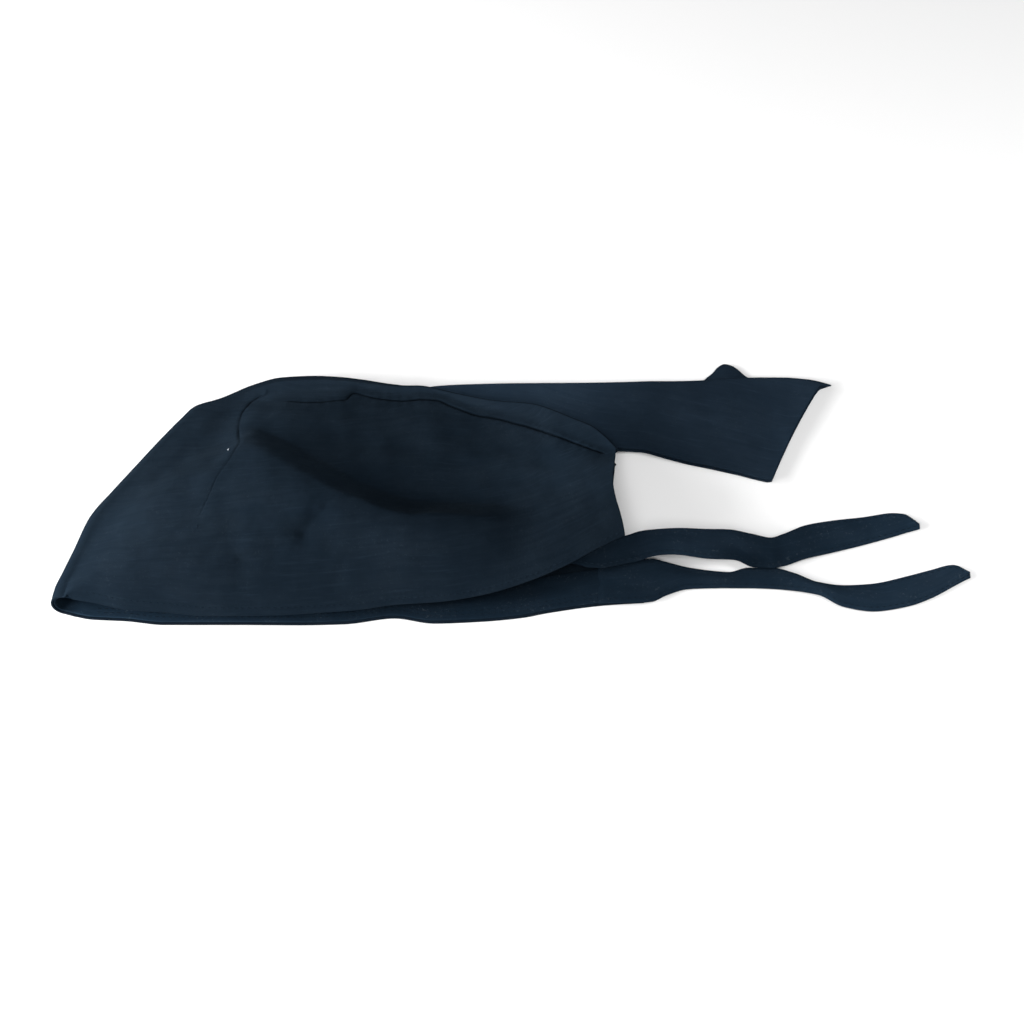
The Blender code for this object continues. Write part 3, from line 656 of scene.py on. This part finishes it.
def section_at(points):
    """For plan points of the upper side, the section that runs through each and how far along it they lie."""
    place = np.linspace(0, len(SECTIONS) - 1, 1600)
    hem_x = at(SECTIONS, "hem_x", place)
    hem = np.stack([hem_x, along(UPPER_HEM, "y", hem_x)])
    centre = np.stack([CROWN.read(c, place) for c in CROWN.centre])
    run = centre - hem
    found = []
    for x, y in points:
        share = ((x - hem[0]) * run[0] + (y - hem[1]) * run[1]) / (run**2).sum(axis=0)
        miss = np.hypot(hem[0] + run[0] * share - x, hem[1] + run[1] * share - y)
        best = miss.argmin()
        found.append((place[best], share[best]))
    return np.array(found).T


def panel_grid():
    """Section place and share of the way to the crown for each point of the upper side, rows by columns.
    One row follows the crown seam and one column follows the dart, with close steps beside them."""
    seam_place, seam_share = section_at(CROWN_SEAM)
    dart_place, dart_share = section_at(DART)
    last = len(SECTIONS) - 1
    before = int(CAP_COLUMNS * np.interp(dart_place.mean(), [0, last], [0, 1]))
    after = CAP_COLUMNS - before
    seam_row = int(PANEL_ROWS * seam_share.mean())
    low = close_steps(seam_row, SEAM_ROWS, False, True)
    high = close_steps(PANEL_ROWS - seam_row, SEAM_ROWS, True, False)
    order = np.argsort(dart_share)
    middle = seam_share.mean()
    rough_share = np.concatenate([low * middle, middle + high[1:] * (1 - middle)])
    rough_share = np.clip(rough_share, dart_share.min(), dart_share.max())
    dart_at_row = smooth_curve(dart_share[order], dart_place[order], rough_share)[:, None]
    left = close_steps(before, DART_COLUMNS, False, True)
    right = close_steps(after, DART_COLUMNS, True, False)
    place = np.concatenate([left * dart_at_row, dart_at_row + right[1:] * (last - dart_at_row)], axis=1)
    seam_at = smooth_curve(seam_place, seam_share, np.clip(place, seam_place.min(), seam_place.max()))
    share = np.empty_like(place)
    share[: seam_row + 1] = low[:, None] * seam_at[: seam_row + 1]
    share[seam_row:] = seam_at[seam_row:] + high[:, None] * (1 - seam_at[seam_row:])
    return place, share


def cap_points():
    """The cap's outer face, row by row from the upper hem over the crown to the lower hem, and its groove
    depth."""
    place, share = panel_grid()
    hem_x = at(SECTIONS, "hem_x", place)
    hem_y = along(UPPER_HEM, "y", hem_x)
    centre_x, centre_y = (CROWN.read(c, place) for c in CROWN.centre)
    x = hem_x + (centre_x - hem_x) * share
    y = hem_y + (centre_y - hem_y) * share
    seam_z, seam_deep = seam_shape(x, y, CROWN_SEAM, *CROWN_SEAM_LOOK)
    dart_z, dart_deep = seam_shape(x, y, DART, *DART_LOOK)
    z = upper_height(x, y) + seam_z + dart_z
    behind = smooth_step((hem_x - BACK_X) / BACK_REACH)
    x = x - BACK_BOW * behind * np.sin(pi * share) ** 1.5
    upper = np.stack([x, y, z], axis=2)

    last_place = place[-1]
    fold = fold_points(last_place)
    lower = floor_points(last_place)
    points = np.concatenate([upper, fold, lower])
    deep, fade = np.zeros(points.shape[:2]), np.zeros(points.shape[:2])
    deep[: PANEL_ROWS + 1] = np.maximum(seam_deep, dart_deep)
    # Painted light and painted shade of the upper side, carried by the fade attribute.
    fade[: PANEL_ROWS + 1] = cap_painted_shading(x, y)
    return points, deep, fade, last_place


def fold_points(place):
    """Round the crown's fold: closed down to the floor, or, where the tail comes out, a turned edge and a
    gap."""
    centre = np.stack([CROWN.read(c, place) for c in CROWN.centre])
    out = np.stack([CROWN.read(c, place) for c in CROWN.out])
    radius, top = CROWN.read(CROWN.radius, place), CROWN.read(CROWN.top, place)
    open_part = smooth_step((place - OPEN_FROM) / 1.5)
    rows = []
    for step in range(1, FOLD_ROWS + 1):
        angle = pi * step / FOLD_ROWS
        closed = [*(centre + out * radius * sin(angle)), top * (1 + cos(angle)) / 2]
        if step < SLIT_ROW:
            turn = min(pi * step / TURN_ROWS, pi)
            back = max(0, step - TURN_ROWS) * TUCK / (SLIT_ROW - 1 - TURN_ROWS)
            opened = [*(centre + out * (radius * sin(turn) - back)), top - radius * (1 - cos(turn))]
        else:
            left = (FOLD_ROWS - step) / (FOLD_ROWS - SLIT_ROW)
            opened = [*(centre + out * radius * left * LIP_REACH), np.zeros_like(top)]
        closed, opened = np.stack(closed, axis=1), np.stack(opened, axis=1)
        rows.append(closed * (1 - open_part)[:, None] + opened * open_part[:, None])
    return np.array(rows)


def floor_points(place):
    """Flat on the floor, from under the crown back to the lower hem."""
    share = np.linspace(0, 1, FLOOR_ROWS + 1)[1:, None]
    hem_x = at(SECTIONS, "floor_hem_x", place)[None]
    behind = smooth_step((hem_x - BACK_X) / BACK_REACH)
    centre_x, centre_y = (CROWN.read(c, place)[None] for c in CROWN.centre)
    hem_y = along(FLOOR_HEM, "y", hem_x)
    x = centre_x + (hem_x - centre_x) * share - FLOOR_BACK_BOW * behind * np.sin(pi * share)
    y = centre_y + (hem_y - centre_y) * share
    return np.stack([x, y, np.zeros_like(x)], axis=2)


def band_points():
    """The hem band's outer face: rows across its width, columns from the lower hem's back end round the brow
    to the upper hem's back end."""
    rows = []
    for across in np.linspace(BAND_INSET, BAND_INSET + BAND_WIDTH, BAND_ROWS):
        floor_x = np.linspace(BAND_FLOOR_END_X, BAND_FRONT_X, BAND_COLUMNS)
        lean = BROW_LEAN * across * smooth_step((BROW_X - floor_x) / BROW_REACH)
        floor_y = along(FLOOR_HEM, "y", floor_x) + across
        lower = np.stack([floor_x + lean, floor_y, np.full_like(floor_x, BAND_DROP)], axis=1)

        index = np.interp(across, CROWN.length, np.arange(len(CROWN.length)))
        centre = np.array([np.interp(index, np.arange(len(c)), c) for c in CROWN.centre])
        out = np.array([np.interp(index, np.arange(len(c)), c) for c in CROWN.out])
        radius = CROWN.radius[0] - BAND_DROP
        turn = [
            [*(centre + out * radius * sin(angle)), CROWN.radius[0] + radius * cos(angle)]
            for angle in np.linspace(pi, 0, BAND_TURN)
        ]

        upper_x = np.linspace(BAND_FRONT_X, BAND_UPPER_END_X, BAND_COLUMNS)
        lean = BROW_LEAN * across * smooth_step((BROW_X - upper_x) / BROW_REACH)
        upper_y = along(UPPER_HEM, "y", upper_x) + across
        x = upper_x + lean
        slope_x = upper_height(x + 0.5, upper_y) - upper_height(x - 0.5, upper_y)
        slope_y = upper_height(x, upper_y + 0.5) - upper_height(x, upper_y - 0.5)
        drop = BAND_DROP * np.sqrt(1 + slope_x**2 + slope_y**2)
        upper = np.stack([x, upper_y, upper_height(x, upper_y) - drop], axis=1)
        rows.append(np.concatenate([lower, np.array(turn), upper]))
    return np.stack(rows)


def tail_points():
    """The tail's outer face, from the upper layer's free edge round the fold to the lower layer's free
    edge."""
    place = np.linspace(0, len(TAIL) - 1, TAIL_SPLIT * (len(TAIL) - 1) + 1)
    edge = np.stack([at(TAIL, "edge_x", place), at(TAIL, "edge_y", place)])
    fold = np.stack([at(TAIL, "fold_x", place), at(TAIL, "fold_y", place)])
    floor, loft = at(TAIL, "floor", place), at(TAIL, "loft", place)
    share = np.linspace(0, 1, TAIL_ROWS + 1)
    sections = []
    for i in range(len(place)):
        radius = SOLID_WALL + loft[i] / 2
        inner = fold[:, i] + (edge[:, i] - fold[:, i]) * radius / np.linalg.norm(edge[:, i] - fold[:, i])
        out = (fold[:, i] - inner) / radius
        flat = edge[:, i, None] + (inner - edge[:, i])[:, None] * share
        ripple = TAIL_RIPPLE * np.sin(pi * share) * sin(RIPPLE_START + RIPPLE_TURN * i)
        lift = 2 * radius - loft[i] / 2 * (1 - smooth_step(share * TAIL_SETTLE))
        waves = TAIL_WAVE * np.sin(pi * share) * handled(*flat)
        upper = np.stack([*flat, floor[i] + lift + ripple + waves], axis=1)
        turn = []
        for step in range(1, TAIL_FOLD_ROWS):
            angle = pi * step / TAIL_FOLD_ROWS
            turn.append([*(inner + out * radius * sin(angle)), floor[i] + radius * (1 + cos(angle))])
        lower = np.stack([*flat[:, ::-1], np.full(TAIL_ROWS + 1, floor[i])], axis=1)
        section = np.concatenate([upper, np.array(turn), lower])
        sections.append(section + end_shape(i, len(place), len(section)))
    return np.stack(sections, axis=1)


def end_shape(i, count, rows):
    """How far each point of a tail section moves along X: the end edge bows in and its fold draws out to a
    tip."""
    near_end = smooth_step((i + 1 - count) / TAIL_END_COLUMNS + 1)
    from_fold = np.abs(np.linspace(-1, 1, rows))
    pull = TAIL_TIP * np.exp(-((from_fold / TAIL_TIP_WIDTH) ** 2)) - TAIL_END_BOW * np.sin(pi * from_fold)
    shift = np.zeros((rows, 3))
    shift[:, 0] = near_end * pull
    return shift


def corner_points():
    """The lower layer's corner that shows beyond the tail's fold, rows from under the fold out to its
    edge."""
    outline = smooth_run(TAIL_CORNER, CORNER_SPLIT)
    rows = []
    for share in np.linspace(0, 1, CORNER_ROWS):
        y = CORNER_ROOT_Y + (outline[:, 1] - CORNER_ROOT_Y) * share
        x = outline[:, 0]
        z = CORNER_FLOOR + CORNER_ARCH * np.sin(pi * share) * np.sin(pi * np.linspace(0, 1, len(x)))
        rows.append(np.stack([x, y, z], axis=1))
    return np.array(rows)


def tie_points(table):
    """A flat tie's upper face, row by row across its width."""
    place = np.linspace(0, len(table) - 1, TIE_SPLIT * (len(table) - 1) + 1)
    row = {name: at(table, name, place) for name in TieRow._fields}
    width = np.hypot(row["far_y"] - row["near_y"], row["far_z"] - row["near_z"])
    rows = []
    for share in np.linspace(0, 1, TIE_ROWS + 1):
        y = row["near_y"] + (row["far_y"] - row["near_y"]) * share
        z = row["near_z"] + (row["far_z"] - row["near_z"]) * share
        from_edge = width * min(share, 1 - share)
        ridge = TIE_EDGE_RIDGE * np.exp(-(((from_edge - TIE_EDGE_WIDTH) / TIE_EDGE_WIDTH) ** 2))
        waves = TIE_WAVE * sin(pi * share) * handled(row["x"], y)
        z = z + row["arch"] * sin(pi * share) + ridge + waves + CLOTH / 2
        rows.append(np.stack([row["x"], y, z], axis=1))
    return np.stack(rows)


def even_steps(path, pitch):
    """Points at an even pitch along a path, and the path's direction at each."""
    steps = np.linalg.norm(np.diff(path, axis=0), axis=1)
    walked = np.concatenate([[0], np.cumsum(steps)])
    wanted = np.arange(pitch / 2, walked[-1], pitch)
    places = np.stack([np.interp(wanted, walked, path[:, k]) for k in range(3)], axis=1)
    ahead = np.stack([np.interp(wanted + pitch / 4, walked, path[:, k]) for k in range(3)], axis=1)
    back = np.stack([np.interp(wanted - pitch / 4, walked, path[:, k]) for k in range(3)], axis=1)
    return places, ahead - back


def stitch_mesh(name, paths):
    """Rows of short stitches that lie on the cloth along paths given in millimetres."""
    random = np.random.default_rng(11)
    bm = bmesh.new()
    for path in paths:
        for place, run in zip(*even_steps(path, STITCH_PITCH)):
            turn = Vector(run).to_track_quat("X", "Z").to_matrix().to_4x4()
            lean = Matrix.Rotation(random.uniform(-STITCH_LEAN, STITCH_LEAN), 4, "Z")
            size = (STITCH_LENGTH / 2 * MM, STITCH_WIDTH / 2 * MM, STITCH_WIDTH * 0.4 * MM, 1)
            where = Matrix.Translation(Vector((place - MIDDLE) * MM))
            matrix = where @ turn @ lean @ Matrix.Diagonal(size)
            bmesh.ops.create_uvsphere(bm, u_segments=6, v_segments=4, radius=1, matrix=matrix)
    mesh = bpy.data.meshes.new(name)
    bm.to_mesh(mesh)
    bm.free()
    mesh.shade_smooth()
    return mesh


def hem_path():
    x = np.linspace(-197, 50, 300)
    y = along(UPPER_HEM, "y", x) + STITCH_INSET
    return np.stack([x, y, upper_height(x, y) + 0.05], axis=1)


def band_path(from_hem):
    x = np.linspace(-192, 54, 300)
    y = along(FLOOR_HEM, "y", x) + from_hem
    return np.stack([x, y, np.full_like(x, BAND_DROP + CLOTH + 0.03)], axis=1)


def tie_path(points, from_edge):
    """A line along a tie's upper face at a distance from its near edge, or from its far edge if it is
    negative."""
    width = np.linalg.norm(points[-1] - points[0], axis=1)
    share = np.clip(from_edge / width if from_edge > 0 else 1 + from_edge / width, 0.1, 0.9)
    row = share * (len(points) - 1)
    low = row.astype(int)
    part = (row - low)[:, None]
    columns = np.arange(points.shape[1])
    return points[low, columns] * (1 - part) + points[low + 1, columns] * part + [0, 0, 0.02]


def thread_mesh(name, threads):
    """Loose threads: thin tapered rods from a start, along a direction, in millimetres."""
    bm = bmesh.new()
    for start, run, radius in threads:
        start, run = Vector((np.array(start) - MIDDLE) * MM), Vector(run) * MM
        turn = run.to_track_quat("Z", "Y").to_matrix().to_4x4()
        middle = Matrix.Translation(start + run / 2)
        bmesh.ops.create_cone(bm, cap_ends=True, segments=6, radius1=radius * MM, radius2=radius * 0.5 * MM,
                              depth=run.length, matrix=middle @ turn)
    mesh = bpy.data.meshes.new(name)
    bm.to_mesh(mesh)
    bm.free()
    mesh.shade_smooth()
    return mesh


def frayed_end():
    """Short yarn ends along the cut end of the left tie."""
    random = np.random.default_rng(3)
    threads = []
    for share in np.linspace(0.04, 0.96, FRAY_COUNT):
        x, y = FRAY_START + FRAY_RUN * share
        run = (random.uniform(0.5, 1.6), random.uniform(0.2, 1.2), random.uniform(-0.25, 0.25))
        threads.append(((x - 0.6, y - 0.4, 0.9), run, FRAY_RADIUS))
    return threads


def lengths(points, axis):
    """Distance walked along each line of a grid of points."""
    steps = np.linalg.norm(np.diff(points, axis=axis), axis=2)
    start = np.zeros_like(np.take(steps, [0], axis=axis))
    return np.concatenate([start, np.cumsum(steps, axis=axis)], axis=axis)


def cloth_mesh(name, points, opening=None, **values):
    """A grid through rows of points, with a weave map in metres and named values per point as attributes."""
    rows, columns = points.shape[:2]
    bm = bmesh.new()
    bmesh.ops.create_grid(bm, x_segments=columns - 1, y_segments=rows - 1, size=1)
    bm.verts.ensure_lookup_table()
    for vert, place in zip(bm.verts, (points.reshape(-1, 3) - MIDDLE) * MM):
        vert.co = place
    across = lengths(points, 0) * MM
    run = np.repeat(lengths(points, 1).mean(axis=0, keepdims=True), rows, axis=0) * MM
    weave = bm.loops.layers.uv.new("weave")
    flat_run, flat_across = run.ravel(), across.ravel()
    for face in bm.faces:
        for loop in face.loops:
            k = loop.vert.index
            loop[weave].uv = (flat_run[k], flat_across[k])
    # The fade attribute holds painted light and painted shade; the seam attribute holds groove depth.
    for key in ("seam", "fade"):
        layer = bm.verts.layers.float.new(key)
        if key in values:
            for vert, value in zip(bm.verts, values[key].ravel()):
                vert[layer] = value
    if opening:
        corner = {face: divmod(min(vert.index for vert in face.verts), columns) for face in bm.faces}
        left_out = [face for face, place in corner.items() if opening(*place)]
        bmesh.ops.delete(bm, geom=left_out, context="FACES")
    mesh = bpy.data.meshes.new(name)
    bm.to_mesh(mesh)
    bm.free()
    mesh.shade_smooth()
    return mesh


def cloth_piece(name, mesh, material, thickness=CLOTH):
    obj = bpy.data.objects.new(name, mesh)
    bpy.context.scene.collection.objects.link(obj)
    wall = obj.modifiers.new("wall", "SOLIDIFY")
    wall.thickness = thickness * MM
    wall.offset = -1
    edge = obj.modifiers.new("edge", "BEVEL")
    edge.width = EDGE_ROUND * MM
    edge.segments = 2
    edge.limit_method = "ANGLE"
    edge.angle_limit = radians(72)
    mesh.materials.append(material)
    return obj


def tie(name, table, shade, material):
    mesh = cloth_mesh(name, tie_points(table), fade=tie_painted_shading(table, *shade))
    return cloth_piece(name, mesh, material)


def loose_piece(name, mesh, material):
    obj = bpy.data.objects.new(name, mesh)
    bpy.context.scene.collection.objects.link(obj)
    mesh.materials.append(material)
    return obj


class Shader:
    """A Principled material and short ways to add nodes to it."""

    def __init__(self, name):
        self.material = bpy.data.materials.new(name)
        self.material.use_nodes = True
        self.tree = self.material.node_tree
        self.surface = self.tree.nodes["Principled BSDF"]

    def add(self, kind, settings=None, **inputs):
        node = self.tree.nodes.new(kind)
        for key, value in (settings or {}).items():
            setattr(node, key, value)
        for key, value in inputs.items():
            self.feed(node.inputs[key.replace("_", " ")], value)
        return node

    def feed(self, socket, value):
        if isinstance(value, bpy.types.NodeSocket):
            self.tree.links.new(value, socket)
        else:
            socket.default_value = value

    def math(self, operation, a, b=0.0):
        node = self.tree.nodes.new("ShaderNodeMath")
        node.operation = operation
        self.feed(node.inputs[0], a)
        self.feed(node.inputs[1], b)
        return node.outputs[0]

    def noise(self, vector, scale, detail=2.0, rough=0.5):
        node = self.add("ShaderNodeTexNoise", Vector=vector, Scale=scale, Detail=detail, Roughness=rough)
        return node.outputs["Fac"]

    def between(self, value, low, high, to_low=0.0, to_high=1.0):
        node = self.tree.nodes.new("ShaderNodeMapRange")
        node.interpolation_type = "SMOOTHSTEP"
        for socket, number in zip(node.inputs[1:5], (low, high, to_low, to_high)):
            socket.default_value = number
        self.tree.links.new(value, node.inputs[0])
        return node.outputs[0]

    def blend(self, share, a, b, kind="MIX"):
        node = self.tree.nodes.new("ShaderNodeMix")
        node.data_type = "RGBA"
        node.blend_type = kind
        self.feed(node.inputs[0], share)
        self.feed(node.inputs[6], a)
        self.feed(node.inputs[7], b)
        return node.outputs[2]


def cotton(name, dark, light, lint_colour, lint_amount, sheen):
    """Plain woven cotton: over and under yarns, uneven dye, faint slubs, a little lint, painted light and shade
    from the fade attribute, and painted shade in the seams' grooves.
    """
    shader = Shader(name)
    weave = shader.add("ShaderNodeUVMap", {"uv_map": "weave"}).outputs["UV"]
    place = shader.add("ShaderNodeTexCoord").outputs["Object"]
    seam = shader.add("ShaderNodeAttribute", {"attribute_name": "seam"}).outputs["Fac"]
    split = shader.add("ShaderNodeSeparateXYZ", Vector=weave)
    warp, weft = (
        shader.math("ABSOLUTE", shader.math("SINE", shader.math("MULTIPLY", split.outputs[axis], pi / YARN)))
        for axis in ("X", "Y")
    )
    over = shader.add("ShaderNodeTexChecker", Vector=weave, Scale=1 / YARN).outputs["Fac"]
    under = shader.math("SUBTRACT", 1.0, over)
    yarns = shader.math("ADD", shader.math("MULTIPLY", over, warp), shader.math("MULTIPLY", under, weft))

    stretched = shader.add("ShaderNodeMapping", Vector=weave, Scale=(0.08, 1.0, 1.0)).outputs["Vector"]
    slub = shader.noise(stretched, 900.0, 1.0)
    streak = shader.noise(stretched, 330.0, 2.0, 0.6)
    dye = shader.noise(place, 14.0, 3.0, 0.55)
    cloud = shader.noise(place, 60.0, 2.0, 0.6)
    fuzz = shader.noise(place, 1500.0, 2.0, 0.7)
    uneven = shader.math("ADD", shader.math("MULTIPLY", dye, 0.6), shader.math("MULTIPLY", cloud, 0.4))
    colour = shader.blend(shader.between(uneven, 0.35, 0.65), (*dark, 1), (*light, 1))
    colour = shader.blend(shader.between(slub, 0.45, 0.8, 0.0, 0.5), colour, (*light, 1))
    colour = shader.blend(shader.between(streak, 0.42, 0.66, 0.0, 0.55), colour, (*dark, 1))
    worn = tuple(c * 1.35 for c in light)
    pale = shader.noise(stretched, 520.0, 2.0, 0.6)
    colour = shader.blend(shader.between(pale, 0.55, 0.75, 0.0, 0.4), colour, (*worn, 1))
    lint = shader.math("MULTIPLY", shader.between(shader.noise(place, 620.0, 3.0, 0.8), 0.575, 0.68),
                       shader.between(cloud, 0.42, 0.62))
    colour = shader.blend(shader.math("MULTIPLY", lint, lint_amount), colour, (*lint_colour, 1))
    # The fade attribute is painted light and painted shade: the colour is multiplied by one more than it.
    fade = shader.add("ShaderNodeAttribute", {"attribute_name": "fade"}).outputs["Fac"]
    tone = shader.math("ADD", fade, 1.0)
    colour = shader.blend(1.0, colour, tone, "MULTIPLY")
    # Seam grooves are drawn near black: painted shade in the groove.
    groove_shade = tuple(c * 0.18 for c in dark)
    colour = shader.blend(shader.between(seam, 0.1, 0.8, 0.0, 0.9), colour, (*groove_shade, 1))
    shader.feed(shader.surface.inputs["Base Color"], colour)
    rough = shader.between(fuzz, 0.3, 0.7, 0.82, 0.96)
    shader.feed(shader.surface.inputs["Roughness"], rough)
    shader.surface.inputs["Sheen Weight"].default_value = sheen
    shader.surface.inputs["Sheen Roughness"].default_value = 0.45
    shader.surface.inputs["Sheen Tint"].default_value = (0.55, 0.72, 0.85, 1)
    shader.surface.inputs["Specular IOR Level"].default_value = 0.0

    fibre = shader.add("ShaderNodeBump", Strength=0.35, Distance=0.0001, Height=fuzz)
    woven = shader.add("ShaderNodeBump", Strength=0.55, Distance=0.00012, Height=yarns,
                       Normal=fibre.outputs[0])
    crumpled = shader.add("ShaderNodeBump", Strength=0.5, Distance=0.0008,
                          Height=shader.noise(place, 110.0, 3.0), Normal=woven.outputs[0])
    shader.feed(shader.surface.inputs["Normal"], crumpled.outputs["Normal"])
    return shader.material


def stage():
    """A wide pale floor, a white surround and the soft lamps of a small studio."""
    bm = bmesh.new()
    bmesh.ops.create_grid(bm, x_segments=1, y_segments=1, size=6)
    bmesh.ops.translate(bm, verts=bm.verts, vec=(0, 0, -0.0002))
    mesh = bpy.data.meshes.new("floor")
    bm.to_mesh(mesh)
    bm.free()
    floor = bpy.data.objects.new("floor", mesh)
    bpy.context.scene.collection.objects.link(floor)
    pale = bpy.data.materials.new("pale_floor")
    pale.use_nodes = True
    surface = pale.node_tree.nodes["Principled BSDF"]
    surface.inputs["Base Color"].default_value = (0.93, 0.93, 0.93, 1)
    surface.inputs["Roughness"].default_value = 0.9
    surface.inputs["Specular IOR Level"].default_value = 0.1
    mesh.materials.append(pale)

    world = bpy.data.worlds.new("surround")
    world.use_nodes = True
    world.node_tree.nodes["Background"].inputs["Color"].default_value = (1, 1, 1, 1)
    world.node_tree.nodes["Background"].inputs["Strength"].default_value = WORLD_LIGHT
    bpy.context.scene.world = world
    for lamp in LAMPS:
        light = bpy.data.lights.new(lamp.name, "AREA")
        light.shape = "RECTANGLE"
        light.size, light.size_y = lamp.width, lamp.height
        light.energy = lamp.power
        light.color = lamp.colour
        obj = bpy.data.objects.new(lamp.name, light)
        obj.location = lamp.place
        obj.rotation_euler = (Vector(lamp.aim) - Vector(lamp.place)).to_track_quat("-Z", "Y").to_euler()
        bpy.context.scene.collection.objects.link(obj)


def camera():
    data = bpy.data.cameras.new("view")
    data.sensor_width = SENSOR
    data.lens = SENSOR * VIEW_DISTANCE / VIEW_WIDTH
    data.clip_start, data.clip_end = 0.05, 50
    obj = bpy.data.objects.new("view", data)
    back = Vector((0, -cos(VIEW_ELEVATION), sin(VIEW_ELEVATION)))
    obj.location = VIEW_TARGET + back * VIEW_DISTANCE
    obj.rotation_euler = (pi / 2 - VIEW_ELEVATION, 0, 0)
    bpy.context.scene.collection.objects.link(obj)
    bpy.context.scene.camera = obj


def main():
    cap_cotton = cotton("cap_cotton", NAVY_DARK, NAVY_LIGHT, LINT, 0.10, SHEEN)
    band_cotton = cotton("band_cotton", TIE_DARK, TIE_LIGHT, LINT, 0.6, SHEEN)
    tail_cotton = cotton("tail_cotton", PALE_DARK, PALE_LIGHT, LINT, 0.10, SHEEN)
    tie_cotton = cotton("tie_cotton", TIE_DARK, TIE_LIGHT, LINT, 0.4, SHEEN)

    points, deep, fade, place = cap_points()
    open_columns = place > OPEN_FROM + 0.3
    slit_row = PANEL_ROWS + SLIT_ROW - 1

    def slit(row, column):
        return row == slit_row and open_columns[column]

    cap = cloth_piece("cap_fabric", cloth_mesh("cap_fabric", points, slit, seam=deep, fade=fade), cap_cotton)
    band = cloth_piece("band_fabric", cloth_mesh("band_fabric", band_points(), fade=band_painted_shading()), band_cotton)
    rows = tail_points()
    tail = cloth_piece("tail_fabric", cloth_mesh("tail_fabric", rows, fade=tail_painted_light(rows)), tail_cotton)
    corner = cloth_piece("tail_corner_fabric", cloth_mesh("tail_corner_fabric", corner_points()), tail_cotton)
    left = tie("left_tie_fabric", LEFT_TIE, LEFT_TIE_SHADE, tie_cotton)
    right = tie("right_tie_fabric", RIGHT_TIE, RIGHT_TIE_SHADE, tie_cotton)

    thread = cotton("thread_cotton", THREAD_DARK, THREAD_LIGHT, LINT, 0.2, SHEEN)
    tie_rows = [tie_points(table) for table in (LEFT_TIE, RIGHT_TIE)]
    ties = [tie_path(rows, edge) for rows in tie_rows for edge in (TIE_STITCH, -TIE_STITCH)]
    band_rows = [band_path(from_hem) for from_hem in BAND_STITCH_ROWS]
    details = [
        loose_piece("hem_stitches", stitch_mesh("hem_stitches", [hem_path()]), thread),
        loose_piece("band_stitches", stitch_mesh("band_stitches", band_rows), thread),
        loose_piece("tie_stitches", stitch_mesh("tie_stitches", ties), thread),
        loose_piece("frayed_yarns", thread_mesh("frayed_yarns", frayed_end()), tie_cotton),
    ]
    lint = cotton("lint", tuple(0.7 * c for c in LINT_PALE), LINT_PALE, LINT_PALE, 0.1, 0.0)
    flecks = []
    for (x, y), size, radius in FLECKS + [DART_END]:
        z = float(upper_height(np.array([x]), np.array([y]))[0]) + 0.05
        flecks.append(((x, y, z), (0.35 * size, size, 0.1), radius))
    details.append(loose_piece("lint_flecks", thread_mesh("lint_flecks", flecks[:-1]), lint))
    details.append(loose_piece("dart_end", thread_mesh("dart_end", flecks[-1:]), thread))

    for piece in (cap, band, tail, corner, left, right, *details):
        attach(piece, "root")
    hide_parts("cap_cloth")
    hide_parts("hem_band")
    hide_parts("tail")
    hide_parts("left_tie")
    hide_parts("right_tie")


camera()
stage()
bpy.context.scene.view_settings.view_transform = "Standard"
main()
